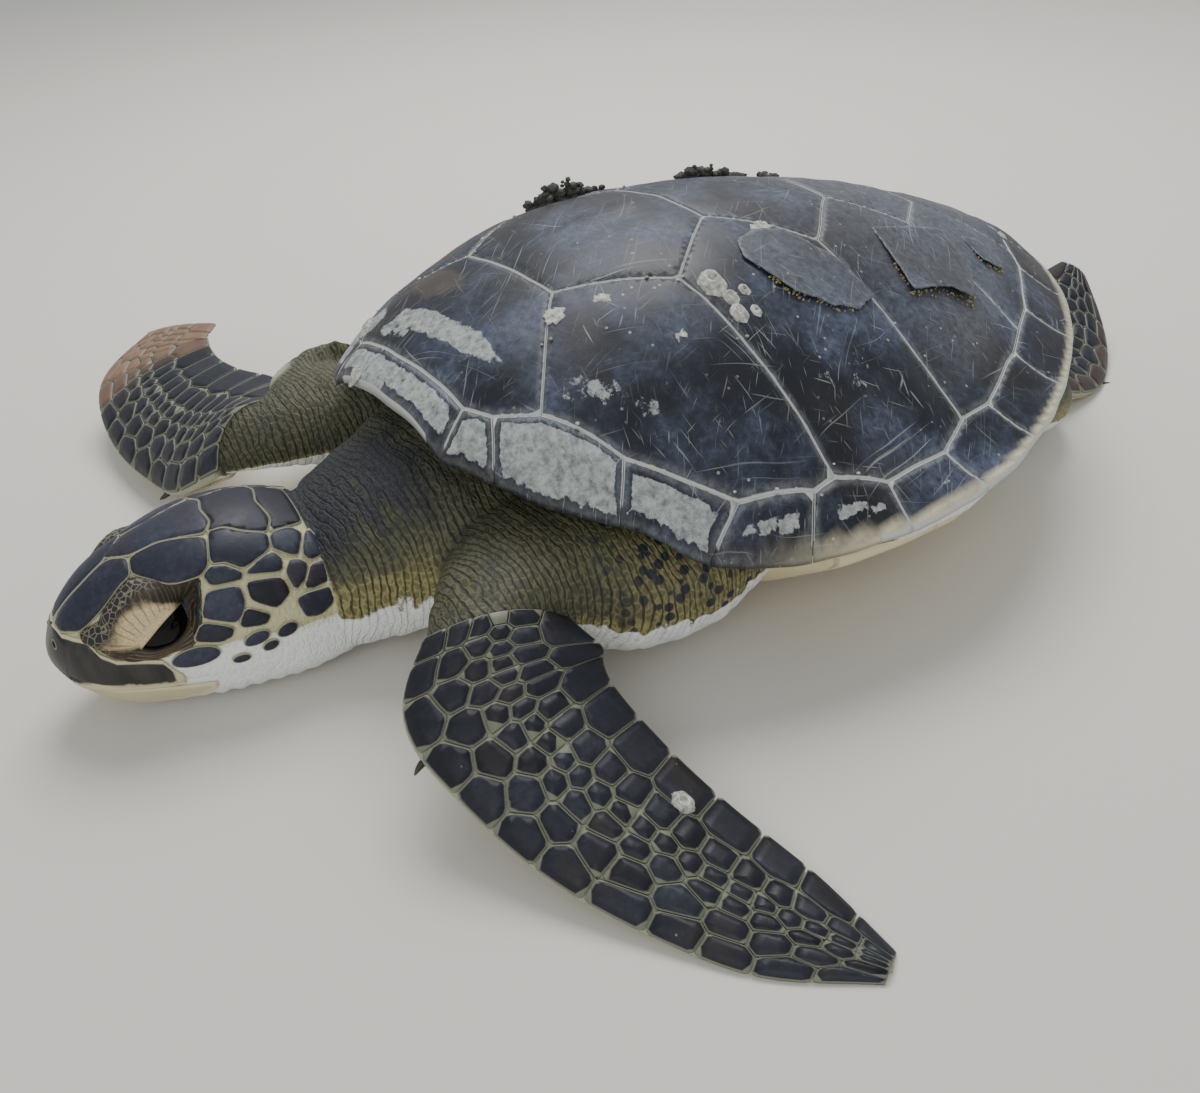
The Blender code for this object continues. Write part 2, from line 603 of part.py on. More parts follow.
def tuck_under(bm):
    """Lower the flesh so that it passes beneath the rim plates of the leaning shell."""
    lean = Matrix.Translation((0.0, 0.0, LIFT)) @ Matrix.Rotation(-ROLL, 4, "Y")
    back = lean.inverted()
    middle = (WIDEST_AT - 0.5) * SHELL_LENGTH
    for vert in bm.verts:
        spot = back @ vert.co
        near = nearness_to_rim(spot.x, spot.y)
        onto_rim = ON_RIM / near if near > RIM_ZONE else 1.0
        place = Vector((spot.x, spot.y - middle)) * onto_rim
        levels = [plate_under(place.x, middle + place.y + step) for step in (-RIM_STRIDE, 0.0, RIM_STRIDE)]
        spot.z = min(spot.z, min(levels) - TUCK + RIM_RISE * max(0.0, near - RIM_CLEAR))
        vert.co = lean @ spot
    return bm


# ---------------------------------------------------------------- head and neck


def head_frame():
    forward = (HEAD_TIP - HEAD_BACK).normalized()
    side = Vector((-forward.y, forward.x, 0.0))
    return forward, side


def head_place(share, out, height):
    side = head_frame()[1]
    return HEAD_BACK.lerp(HEAD_TIP, share) + side * out + Vector((0, 0, height))


def head_sections():
    side = head_frame()[1]
    rings = []
    for k in range(HEAD_RINGS + 1):
        share = k / HEAD_RINGS
        high, low, half = (through(v, share) for v in (HEAD_TOP, HEAD_LOW, HEAD_HALF))
        level = mix(low, high, HEAD_LEVEL)
        center = head_place(share, 0.0, level)
        rings.append(ring_points(center, side, UP, half, high - level, level - low, HEAD_FULLNESS))
    return rings


def box_between(corner_a, corner_b, turn):
    """A box between two corners given in the directions of a matrix."""
    bm = bmesh.new()
    bmesh.ops.create_cube(bm, size=1.0)
    shape = Matrix.Translation((corner_a + corner_b) / 2) @ Matrix.Diagonal((*(corner_b - corner_a), 1.0))
    bmesh.ops.transform(bm, matrix=turn @ shape, verts=bm.verts)
    return bm


def head_matrix():
    """Head directions: x to the side, y forward from the neck joint, z up."""
    forward, side = head_frame()
    columns = Matrix((side, forward, Vector((0, 0, 1)))).transposed()
    return Matrix.Translation(HEAD_BACK) @ columns.to_4x4()


def mouth_cutters():
    """Boxes that part the head, the upper beak and the jaw, with the gap between them."""
    length = (HEAD_TIP - HEAD_BACK).length
    start = MOUTH_BACK * length
    beak_start = (BEAK_BACK - MOUTH_BACK) * length
    slope = (MOUTH_TIP_HEIGHT - MOUTH_HEIGHT) / (length - start)
    turn = head_matrix() @ Matrix.Translation((0, start, MOUTH_HEIGHT)) @ Matrix.Rotation(slope, 4, "X")
    wide, far, deep = 0.1, 0.2, -0.05
    boxes = {
        "jaw_room": (Vector((-wide, 0, deep)), Vector((wide, far, 0))),
        "jaw_shape": (Vector((-wide, GAP, deep)), Vector((wide, far, -GAP))),
        "beak_room": (Vector((-wide, beak_start, -0.001)), Vector((wide, far, BEAK_DEPTH))),
        "beak_shape": (Vector((-wide, beak_start + GAP, 0)), Vector((wide, far, BEAK_DEPTH - GAP))),
    }
    return {name: add_cutter(name, box_between(a, b, turn)) for name, (a, b) in boxes.items()}


def ball(center, radius):
    bm = bmesh.new()
    bmesh.ops.create_uvsphere(bm, u_segments=EYE_SEGMENTS, v_segments=EYE_RINGS, radius=radius)
    bmesh.ops.translate(bm, vec=center, verts=bm.verts)
    return bm


def make_head():
    cutters = mouth_cutters()
    head = add_object("head", flatten_below(loft(head_sections())), "head_scales")
    beak = add_object("beak_upper", flatten_below(loft(head_sections())), "beak")
    jaw = add_object("jaw", flatten_below(loft(head_sections())), "jaw")
    keep_inside(beak, cutters["beak_shape"])
    keep_inside(jaw, cutters["jaw_shape"])
    cut_away(head, cutters["jaw_room"], cutters["beak_room"])
    for word, side in (("left", 1), ("right", -1)):
        center = head_place(EYE_SHARE, side * EYE_OUT, EYE_HEIGHT)
        cut_away(head, add_cutter(f"socket_{word}", ball(center, EYE_RADIUS + GAP)))
        add_object(f"eye_{word}", ball(center, EYE_RADIUS), "eye")


def heading(points, share):
    return (through(points, share + 0.02) - through(points, share - 0.02)).normalized()


def beside(ahead):
    """The level direction to the left of a heading."""
    return Vector((-ahead.y, ahead.x, 0.0)).normalized()


def neck_sections(grow=0.0):
    """Rings from inside the shell to the head, the last one a gap short of the head's own."""
    rings = []
    for k in range(NECK_RINGS):
        share = k / NECK_RINGS
        ahead = heading(NECK_POINTS, share)
        side = beside(ahead)
        half, above, below = (through(v, share) + grow for v in (NECK_HALF, NECK_ABOVE, NECK_BELOW))
        center = through(NECK_POINTS, share) - ahead * (grow if k == 0 else 0.0)
        rings.append(ring_points(center, side, UP, half, above, below, mix(ROUND, HEAD_FULLNESS, share)))
    forward = head_frame()[0]
    rings.append([p - forward * GAP for p in head_sections()[0]])
    return rings


# ---------------------------------------------------------------- limbs and tail
class Limb:
    """A front or hind limb: its upper part grows out of the shell, its blade ends in a thin tip."""

    def __init__(self, names, root, halves, heights, axis, tilts, chords, thicks, trailing, claw_at):
        self.upper, self.lower, self.claw = names
        self.root, self.halves, self.heights = root, halves, heights
        self.axis, self.tilts, self.chords, self.thicks = axis, tilts, chords, thicks
        self.trailing, self.claw_at = trailing, claw_at

    def frame(self, share):
        """Directions at a place along the blade: ahead, to the trailing edge, up through it."""
        ahead = heading(self.axis, clamp(share, 0.02, 0.98))
        tilt = through(self.tilts, share)
        level = self.trailing - ahead * self.trailing.dot(ahead)
        level = Vector((level.x, level.y, 0.0)).normalized()
        back = (level * cos(tilt) + UP * sin(tilt)).normalized()
        up = ahead.cross(back).normalized()
        return ahead, back, (up if up.z > 0 else -up)

    def blade_rings(self, grow=0.0):
        rings = []
        for k in range(BLADE_RINGS + 1):
            share = k / BLADE_RINGS
            back, up = self.frame(share)[1:]
            reach = back * (through(self.chords, share) * 0.5 + grow)
            center = through(self.axis, share)
            rings.append(blade_points(center - reach, center + reach, up, through(self.thicks, share), grow))
        return rings

    def root_rings(self, last_ring, grow=0.0):
        """Rings from inside the shell to the blade's first ring, kept a gap short of it."""
        lead = last_ring[0] - last_ring[PROFILE // 2]
        turn = 1.0 if beside(heading(self.root, ROOT_REACH)).dot(lead) > 0 else -1.0
        rings = []
        for k in range(ROOT_RINGS):
            share = k / ROOT_RINGS * ROOT_REACH
            ahead = heading(self.root, clamp(share, 0.02, 0.98))
            side = beside(ahead) * turn
            half, height = (through(v, share) + grow for v in (self.halves, self.heights))
            center = through(self.root, share) - ahead * (grow if k == 0 else 0.0)
            rings.append(ring_points(center, side, UP, half, height, height))
        ahead = self.frame(0.0)[0]
        rings.append([p - ahead * GAP for p in last_ring])
        return rings

    def room(self):
        return add_cutter(f"{self.upper}_room", loft(self.root_rings(self.blade_rings()[0], ROOM)))

    def claw_rings(self, grow=0.0):
        """A small hooked cone on the leading edge, pointing out and towards the tip."""
        ahead, back, up = self.frame(self.claw_at)
        reach = through(self.chords, self.claw_at) * 0.5
        base = through(self.axis, self.claw_at) - back * (reach - CLAW_SUNK)
        rings = []
        for k in range(CLAW_RINGS + 1):
            share = k / CLAW_RINGS
            bend = (ahead * CLAW_HOOK * share - back * CLAW_OUT) * share
            center = base + bend * CLAW_LENGTH - up * CLAW_DROP
            radius = mix(CLAW_RADIUS, CLAW_RADIUS * CLAW_POINT, share) + grow
            rings.append(ring_points(center, ahead, up, radius, radius, radius, 2.0)[::2])
        if grow:
            rings.insert(0, [p + back * grow for p in rings[0]])
        return rings

    def build(self, clear):
        blade = self.blade_rings()
        root = add_object(self.upper, flatten_below(tuck_under(loft(self.root_rings(blade[0])))), "skin")
        cut_away(root, *clear, add_cutter(f"{self.lower}_room", loft(self.blade_rings(ROOM))))
        lower = add_object(self.lower, flatten_below(loft(blade)), "flipper_scales")
        cut_away(lower, add_cutter(f"{self.claw}_room", loft(self.claw_rings(GAP))))
        add_object(self.claw, flatten_below(loft(self.claw_rings())), "claw")


def tail_sections(grow=0.0):
    rings = []
    for k in range(TAIL_RINGS + 1):
        share = k / TAIL_RINGS
        ahead = heading(TAIL_POINTS, clamp(share, 0.02, 0.98))
        side = beside(ahead)
        half, height = (through(v, share) + grow for v in (TAIL_HALF, TAIL_HEIGHT))
        center = through(TAIL_POINTS, share) - ahead * (grow if k == 0 else 0.0)
        rings.append(ring_points(center, side, UP, half, height, height))
    return rings


# ---------------------------------------------------------------- the whole animal
def shell_empty():
    shell = bpy.data.objects.new("shell_frame", None)
    bpy.context.scene.collection.objects.link(shell)
    shell.rotation_euler = (0.0, -ROLL, 0.0)
    shell.location = (0.0, 0.0, LIFT)
    return shell


def press_flat(bm):
    """Cut the belly off at the floor, seen from the leaning frame of the shell."""
    lean = Matrix.Rotation(ROLL, 3, "Y")
    return halve(bm, lean @ Vector((0.0, 0.0, -LIFT)), lean @ UP, keep_front=True)


def move_over_origin():
    for item in bpy.data.objects:
        if item.parent is None:
            item.location = item.location + MIDDLE


def build():
    clear_scene()
    shell = shell_empty()
    make_plates(shell)
    make_head()
    neck_room = add_cutter("neck_room", loft(neck_sections(ROOM)))
    limbs = [Limb(*shape) for shape in LIMBS]
    rooms = [neck_room, add_cutter("tail_room", loft(tail_sections(ROOM)))] + [limb.room() for limb in limbs]
    trunk = add_object("trunk", disc(trunk_reach, trunk_top, trunk_low), "skin", shell)
    belly_plate = disc(plastron_reach, plastron_top, plastron_low)
    plastron = add_object("plastron", press_flat(belly_plate), "belly_plate", shell)
    cut_away(trunk, *rooms)
    cut_away(plastron, *rooms)
    add_object("neck", flatten_below(tuck_under(loft(neck_sections()))), "skin")
    add_object("tail", flatten_below(tuck_under(loft(tail_sections()))), "skin")
    for limb in limbs:
        limb.build([neck_room] if limb.upper.startswith("arm") else [])
    move_over_origin()
    bpy.context.view_layer.update()


build()
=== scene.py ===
"""A young green sea turtle at rest, as a still life-size model: shell plates, skin, scales, eyes and beak.

Metres, +Z up. The turtle faces -Y and its left side is +X; the floor is z = 0. Every surface of the
body is a function of two places on it, written as in the frame: the dome of the shell, the head, the
neck and the limbs. The skin is drawn through those functions a little inside the frame's flesh, and
plates and scales are cut in flat charts and laid on the same surfaces.
"""

from functools import lru_cache, partial
from math import atan2, cos, degrees, exp, pi, radians, sin, sqrt
from random import Random

import bmesh
import bpy
import numpy as np
from bpy.props import FloatProperty, FloatVectorProperty, PointerProperty
from mathutils import Matrix, Vector, noise


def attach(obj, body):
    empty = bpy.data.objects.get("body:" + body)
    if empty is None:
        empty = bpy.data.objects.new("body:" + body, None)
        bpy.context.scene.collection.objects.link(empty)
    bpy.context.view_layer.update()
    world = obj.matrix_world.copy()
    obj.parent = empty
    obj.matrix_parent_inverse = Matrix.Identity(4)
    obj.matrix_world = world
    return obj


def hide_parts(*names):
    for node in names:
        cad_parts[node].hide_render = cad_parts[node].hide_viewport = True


bl_info = {
    "name": "Sea turtle",
    "version": (1, 0, 0),
    "blender": (4, 5, 0),
    "location": "View3D > Sidebar > Turtle",
    "description": "Builds a young green sea turtle at rest around its frame",
    "category": "Object",
}

SEED = 1
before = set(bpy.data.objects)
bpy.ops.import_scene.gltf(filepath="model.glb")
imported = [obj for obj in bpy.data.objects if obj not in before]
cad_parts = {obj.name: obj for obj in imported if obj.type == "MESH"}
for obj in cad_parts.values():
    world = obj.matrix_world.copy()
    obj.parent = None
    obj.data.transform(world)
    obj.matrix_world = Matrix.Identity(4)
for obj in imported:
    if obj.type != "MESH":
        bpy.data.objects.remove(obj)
noise.seed_set(SEED)        # without this the waves of the seams would start from the clock


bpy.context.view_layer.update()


# ------------ colours
def linear(code):
    """A colour written as a screen hex code, as linear light."""
    levels = [int(code[k:k + 2], 16) / 255 for k in (1, 3, 5)]
    return tuple(v / 12.92 if v <= 0.04045 else ((v + 0.055) / 1.055) ** 2.4 for v in levels)


def paint(name, code, text):
    return FloatVectorProperty(name=name, description=text, subtype="COLOR", size=3, min=0.0, max=1.0,
                               default=linear(code))


def measure(name, size, text):
    return FloatProperty(name=name, description=text, subtype="DISTANCE", unit="LENGTH", min=0.0,
                         precision=5, default=size)


class ShellSettings(bpy.types.PropertyGroup):
    plate: paint("Plate", "#12151f", "Horn of the plates, almost black")
    haze: paint("Haze", "#5a657d", "Blue-grey bloom over the horn")
    brown: paint("Brown", "#2a2322", "Brown that shows where the horn is thin")
    dull: paint("Dull", "#6a6d73", "Grey-brown of the weathered rear plates")
    seam: paint("Seam", "#c4c7c2", "Thin pale edge of each plate")
    worn: paint("Worn", "#b6bab6", "Dull grey-green where the top layer is gone")
    rim_edge: paint("Rim edge", "#cfc6a6", "Cream edge of the rear rim plates")
    belly: paint("Belly", "#e2d6ae", "Cream plates of the underside")
    round: measure("Edge round", 0.0005, "How far the edge of a plate is rounded")
    bulge: measure("Bulge", 0.0006, "How far the middle of a plate stands up")
    cell: measure("Cell", 0.0024, "Size of the mesh inside a plate")


class SkinSettings(bpy.types.PropertyGroup):
    back: paint("Back", "#282b30", "Skin on the upper side")
    olive: paint("Olive", "#5a583f", "Skin on the flanks of the neck and the shoulders")
    khaki: paint("Khaki", "#8d8658", "Skin lower on the flanks")
    under: paint("Underside", "#e4e6e4", "Skin of the throat and the underside")
    between: paint("Between scales", "#a1a28c", "Skin that shows between the scales of a limb")
    head_seam: paint("Head seams", "#c6c29a", "Skin that shows between the scales of the head")
    depth: measure("Coat depth", 0.0008, "How far the skin lies inside the frame")
    grain: measure("Grain", 0.00135, "Size of the mesh of the neck and shoulders")
    fold: measure("Fold", 0.0007, "Depth of the folds across the neck")


class ScaleSettings(bpy.types.PropertyGroup):
    head: paint("Head scale", "#15151f", "Scales of the head")
    head_rim: paint("Head haze", "#586079", "Bloom over the scales of the head")
    limb: paint("Limb scale", "#0d0f18", "Scales of the limbs")
    head_edge: paint("Head edge", "#b9b795", "Pale edge of each scale of the head")
    limb_rim: paint("Limb haze", "#474d5c", "Bloom over the scales of the limbs")
    limb_edge: paint("Limb edge", "#868975", "Paler edge of each scale of a limb")
    # on the far flipper this tan is painted warm light; on the edges of the feet it is their own colour
    tan: paint("Tan", "#94735b", "Scales that the light has bleached, on the far flipper and the feet")
    under: paint("Under scale", "#cfc39a", "Scales of the undersides")
    height: measure("Height", 0.0004, "How far a scale stands above the skin")
    seam: measure("Seam", 0.0005, "Width of the skin between two scales")


class FaceSettings(bpy.types.PropertyGroup):
    lid: paint("Lid", "#d2bd90", "Pale wrinkled skin of the upper lid")
    lid_fold: paint("Lower lid", "#5a4a30", "Brown skin of the lower lid")
    # the lids' dark skin, also used as painted shade in their creases and grooves
    lid_dark_and_crease_shade: paint("Lid crease", "#221c1a", "Creases of the lids and the dark skin round them")
    eye: paint("Eye", "#060606", "The eye, almost black")
    beak: paint("Beak", "#161518", "Horn of the upper beak")
    beak_edge: paint("Beak edge", "#c9c19c", "Cutting edge of the beak")
    jaw: paint("Jaw", "#d2c9a4", "Horn of the lower beak")
    claw: paint("Claw", "#4b4033", "Claws")


class StageSettings(bpy.types.PropertyGroup):
    floor: paint("Floor", "#d9d5cc", "Plain pale floor")
    key: FloatProperty(name="Key", description="Power of the large soft light", default=15.0, unit="POWER")
    fill: FloatProperty(name="Fill", description="Power of the light in front", default=5.0, unit="POWER")
    world: FloatProperty(name="World", description="Strength of the even light around", default=0.55)


# ------------ small mathematics
UP = Vector((0.0, 0.0, 1.0))
SIDES = (("left", 1.0), ("right", -1.0))
DOUBLES = 1e-7              # corners closer than this are one


def clamp(value, low=0.0, high=1.0):
    return max(low, min(high, value))


def smooth_step(value):
    value = clamp(value)
    return value * value * (3.0 - 2.0 * value)


def ramp(value, start, width):
    """0 up to the start, easing to 1 over the width."""
    return smooth_step((value - start) / width)


def fall(value, start, width):
    """1 up to the start, easing to 0 over the width."""
    return 1.0 - ramp(value, start, width)


def mix(a, b, share):
    return a + (b - a) * share


def through(points, share):
    """The point at share 0..1 along a Catmull-Rom curve through the given points or numbers."""
    spans = len(points) - 1
    place = clamp(share) * spans
    i = min(int(place), spans - 1)
    f = place - i
    p1, p2 = points[i], points[i + 1]
    p0 = points[i - 1] if i > 0 else p1 + (p1 - p2)
    p3 = points[i + 2] if i + 2 <= spans else p2 + (p2 - p1)
    return (p1 * 2.0 + (p2 - p0) * f + (p0 * 2.0 - p1 * 5.0 + p2 * 4.0 - p3) * (f * f)
            + (p1 * 3.0 - p0 - p2 * 3.0 + p3) * (f * f * f)) * 0.5


def stops(table, value):
    """A number read off a table of (place, number), straight between its rows."""
    if value <= table[0][0]:
        return table[0][1]
    for (a, low), (b, high) in zip(table, table[1:]):
        if value <= b:
            return mix(low, high, (value - a) / (b - a))
    return table[-1][1]


def bump_at(value, middle, width):
    return exp(-((value - middle) / width) ** 2)


def spoke(turn):
    """Cosine and sine of a share of a full turn."""
    return cos(2 * pi * turn), sin(2 * pi * turn)


def across_of(ahead):
    """The level direction across a heading."""
    return Vector((-ahead.y, ahead.x, 0.0)).normalized()


def last_true(low, high, rounds, test):
    """The place between low and high up to which the test holds, found by halving."""
    for _ in range(rounds):
        middle = (low + high) / 2.0
        if test(middle):
            low = middle
        else:
            high = middle
    return low


# ------------ meshes and objects
def sheet(columns, rows, place):
    """A grid whose corner at shares (a, b) of its two directions lies at place(a, b)."""
    bm = bmesh.new()
    bmesh.ops.create_grid(bm, x_segments=columns, y_segments=rows, size=1.0)
    for vert in bm.verts:
        vert.co = place((vert.co.x + 1.0) / 2.0, (vert.co.y + 1.0) / 2.0)
    return bm


def tube(rings, around, place):
    """A closed body around place(along, turn), where turn 1 meets turn 0."""
    bm = sheet(rings, around, lambda a, b: place(a, b if b < 0.9999 else 0.0))
    bmesh.ops.remove_doubles(bm, verts=bm.verts, dist=DOUBLES)
    bmesh.ops.holes_fill(bm, edges=[e for e in bm.edges if e.is_boundary])
    return bm


def finish_mesh(name, bm):
    bmesh.ops.remove_doubles(bm, verts=bm.verts, dist=DOUBLES)
    bmesh.ops.recalc_face_normals(bm, faces=bm.faces)
    mesh = bpy.data.meshes.new(name)
    bm.to_mesh(mesh)
    bm.free()
    mesh.shade_smooth()
    return mesh


def object_with(name, data):
    made = bpy.data.objects.new(name, data)
    bpy.context.scene.collection.objects.link(made)
    return made


def add_piece(name, bm, material, slot, *nodes):
    """An object with the shape of bm that rides on the frame and stands for the given nodes."""
    made = object_with(name, finish_mesh(name, bm))
    made.data.materials.append(material)
    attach(made, "root")
    if nodes:
        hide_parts(*nodes)
    return made.data


def set_values(mesh, name, values):
    layer = mesh.attributes.new(name, "FLOAT", "POINT")
    layer.data.foreach_set("value", values)


def layers(bm, *names):
    """A new layer of numbers on the corners for each name."""
    return [bm.verts.layers.float.new(name) for name in names]


def bmesh_from(mesh):
    """A bmesh with the shape of a mesh, which is removed."""
    bm = bmesh.new()
    bm.from_mesh(mesh)
    bpy.data.meshes.remove(mesh)
    return bm


def join_into(bm, other):
    """Add the mesh of another bmesh to bm and free it."""
    spare = bpy.data.meshes.new("spare")
    other.to_mesh(spare)
    other.free()
    bm.from_mesh(spare)
    bpy.data.meshes.remove(spare)


# ------------ materials
SOFT = {"interpolation_type": "SMOOTHSTEP"}      # a Map Range that eases at both ends
TINT = {"data_type": "RGBA"}                     # a Mix of two colours: 0 is the share, 6 and 7 the colours
TIMES = {"operation": "MULTIPLY"}
PLUS = {"operation": "ADD"}
LARGER = {"operation": "MAXIMUM"}


def plug(node, inputs):
    """Set inputs of a node, by name or in order: a value, a hex colour, a socket or a node's first output."""
    for key, value in inputs.items() if isinstance(inputs, dict) else enumerate(inputs):
        socket = node.inputs[key]
        if isinstance(value, bpy.types.Node):
            value = next(out for out in value.outputs if out.enabled)
        if isinstance(value, bpy.types.NodeSocket):
            node.id_data.links.new(value, socket)
            continue
        if isinstance(value, str):
            value = linear(value)
        socket.default_value = (*value, 1.0) if socket.type == "RGBA" else value


def add_node(tree, spot, kind, inputs, **settings):
    """A node with its settings and inputs; a texture lies on the place on the piece unless told otherwise."""
    node = tree.nodes.new("ShaderNode" + kind)
    for key, value in settings.items():
        setattr(node, key, value)
    plug(node, {"Vector": spot, **inputs} if kind.startswith("Tex") else inputs)
    return node


def start_material(name, roughness, ior, *layers):
    """A material, its shader, its function for nodes, the place on the piece, and the layers it reads."""
    made = bpy.data.materials.new(name)
    made.use_nodes = True
    tree = made.node_tree
    shader = tree.nodes["Principled BSDF"]
    plug(shader, {"Roughness": roughness, "IOR": ior})
    spot = tree.nodes.new("ShaderNodeTexCoord").outputs["Object"]
    add = partial(add_node, tree, spot)
    return made, shader, add, spot, *(add("Attribute", {}, attribute_name=key).outputs["Fac"] for key in layers)


# ------------ form of the shell, as in the frame
SHELL_LENGTH = 0.34
HALF_WIDTH = 0.403
WIDEST_AT = 0.49
FRONT_NOTCH = 0.012
FRONT_ROUND = 2.2
REAR_ROUND = 1.6
KEEL_HEIGHT = 0.375
KEEL_AT = 0.4
RIM_SIDE = 0.125
RIM_FRONT_RISE = 0.115
RIM_SHOULDER_RISE = 0.022
ROLL = radians(3.5)
LIFT = 0.0014
MIDDLE = Vector((0.0141, 0.0246, 0.0))
PLATE = 0.003
MARGINAL = 0.009
RIM_EDGE = 0.003
GAP = 0.0003
SEAMS = 12
SHELL_TURN = Matrix.Translation(MIDDLE + Vector((0.0, 0.0, LIFT))) @ Matrix.Rotation(-ROLL, 4, "Y")


def rim_x(t):
    if t < WIDEST_AT:
        share = (WIDEST_AT - t) / (WIDEST_AT - FRONT_NOTCH)
        power = FRONT_ROUND
    else:
        share = (t - WIDEST_AT) / (1.0 - WIDEST_AT)
        power = REAR_ROUND
    return HALF_WIDTH * max(0.0, 1.0 - clamp(share) ** power) ** (1.0 / power)


def rim_z(t):
    shoulder = RIM_SHOULDER_RISE * exp(-((t - 0.135) / 0.045) ** 2)
    return RIM_SIDE + RIM_FRONT_RISE * exp(-(t / 0.13) ** 2) + shoulder + 0.09 * max(0.0, t - 0.4)


def keel_z(t):
    if t < KEEL_AT:
        return KEEL_HEIGHT - 0.113 * ((KEEL_AT - t) / 0.37) ** 2.3
    return KEEL_HEIGHT - 0.185 * ((t - KEEL_AT) / 0.6) ** 1.7


def dome_z(x, t):
    width = max(rim_x(t), 0.02)
    across = clamp(abs(x) / width)
    rearward = ramp(t, 0.25, 0.3)
    drop = (1.0 - across ** mix(2.7, 2.2, rearward)) ** mix(1.0, 1.5, rearward)
    return rim_z(t) + (keel_z(t) - rim_z(t)) * drop


def top(x, y):
    return SHELL_LENGTH * dome_z(x / SHELL_LENGTH, clamp(y / SHELL_LENGTH + 0.5, FRONT_NOTCH, 1.0))


def nearness_to_rim(x, y):
    """1 on the outline of the shell, falling to 0 in the middle."""
    t = y / SHELL_LENGTH + 0.5
    reach = Vector((x / SHELL_LENGTH, t - WIDEST_AT))
    if reach.length < 1e-6:
        return 0.0
    half = (WIDEST_AT - FRONT_NOTCH) if reach.y < 0 else (1.0 - WIDEST_AT)
    power = FRONT_ROUND if reach.y < 0 else REAR_ROUND
    total = (abs(reach.x) / HALF_WIDTH) ** power + (abs(reach.y) / half) ** power
    return total ** (1.0 / power)


def plate_depth(x, y):
    near = nearness_to_rim(x, y)
    swell = mix(PLATE, MARGINAL, ramp(near, 0.72, 0.14))
    return mix(swell, RIM_EDGE, ramp(near, 0.88, 0.12))


def seam_point(x, t):
    return Vector((x * SHELL_LENGTH, (t - 0.5) * SHELL_LENGTH))


RIM_STATIONS = (0.012, 0.029, 0.053, 0.126, 0.19, 0.28, 0.392, 0.495, 0.598, 0.706, 0.805, 0.89, 0.955)
INNER_SEAM = ((0.116, 0.066), (0.147, 0.08), (0.251, 0.155), (0.318, 0.235), (0.346, 0.307),
              (0.361, 0.391), (0.358, 0.477), (0.333, 0.573), (0.289, 0.67), (0.232, 0.761),
              (0.16, 0.842), (0.078, 0.905))
VERTEBRAL_FRONT = ((0.182, 0.112), (0.084, 0.198), (0.079, 0.398), (0.065, 0.591), (0.05, 0.76))
VERTEBRAL_SIDE = ((0.157, 0.302), (0.147, 0.502), (0.118, 0.675), (0.13, 0.862))
COSTAL_SEAM = ((0.344, 0.335), (0.34, 0.526), (0.262, 0.712))
LAST_REAR = (0.0, 0.925)


def rim_point(index, side):
    if index == SEAMS:
        return seam_point(0.0, 1.0)
    t = RIM_STATIONS[index + 1] if index > 0 else RIM_STATIONS[1]
    return seam_point(side * rim_x(t), t)


def inner_point(index, side):
    if index == SEAMS:
        return seam_point(*LAST_REAR)
    x, t = INNER_SEAM[index]
    return seam_point(side * x, t)


def rim_arc(first, last, side, steps=10):
    """Points along the outline between two seams of the rim."""
    points = [rim_point(first, side)]
    t_first, t_last = (p.y / SHELL_LENGTH + 0.5 for p in (points[0], rim_point(last, side)))
    for k in range(1, steps):
        t = mix(t_first, t_last, k / steps)
        if last == SEAMS:
            t = 1.0 - (1.0 - t_first) * (1.0 - k / steps) ** 1.5
        points.append(seam_point(side * rim_x(t), t))
    points.append(rim_point(last, side))
    return points


def plate_outlines():
    """Every plate's name and its outline seen from above."""
    notch = seam_point(0.0, FRONT_NOTCH + 0.018)
    outlines = {"nuchal": [rim_point(0, 1), inner_point(0, 1), inner_point(0, -1), rim_point(0, -1), notch]}
    for number in range(1, 6):
        chains = []
        for side in (1, -1):
            corners = VERTEBRAL_FRONT[number - 1:number] + VERTEBRAL_SIDE[max(0, number - 2):number - 1]
            corners += VERTEBRAL_FRONT[number:number + 1]
            chain = [inner_point(0, side), inner_point(1, side)] if number == 1 else []
            chain += [seam_point(side * x, t) for x, t in corners]
            chains.append(chain + ([inner_point(SEAMS - 1, side)] if number == 5 else []))
        end = [inner_point(SEAMS, 1)] if number == 5 else []
        outlines[f"vertebral_{number}"] = chains[0] + end + chains[1][::-1]
    for word, side in SIDES:
        at, v_front, v_side = ([seam_point(side * x, t) for x, t in seam]
                               for seam in (COSTAL_SEAM, VERTEBRAL_FRONT, VERTEBRAL_SIDE))
        ring = [inner_point(i, side) for i in range(SEAMS)]
        outlines[f"costal_1_{word}"] = [v_front[0], ring[2], ring[3], ring[4], at[0], v_side[0], v_front[1]]
        outlines[f"costal_2_{word}"] = [at[0], ring[5], ring[6], at[1], v_side[1], v_front[2], v_side[0]]
        outlines[f"costal_3_{word}"] = [at[1], ring[7], ring[8], at[2], v_side[2], v_front[3], v_side[1]]
        outlines[f"costal_4_{word}"] = [at[2], ring[9], ring[10], v_side[3], v_front[4], v_side[2]]
        extra = {1: [v_front[0]], 4: [at[0]], 6: [at[1]], 8: [at[2]], 10: [v_side[3]]}
        for index in range(SEAMS):
            inner = [inner_point(index, side), *extra.get(index, []), inner_point(index + 1, side)]
            outlines[f"marginal_{index + 1}_{word}"] = rim_arc(index, index + 1, side) + inner[::-1]
    return outlines


# ------------ plates cut flat and laid on a surface
RINGS_IN = (0.00035, 0.00045, 0.0008, 0.0014)   # widths of the rings of faces inside a plate's edge


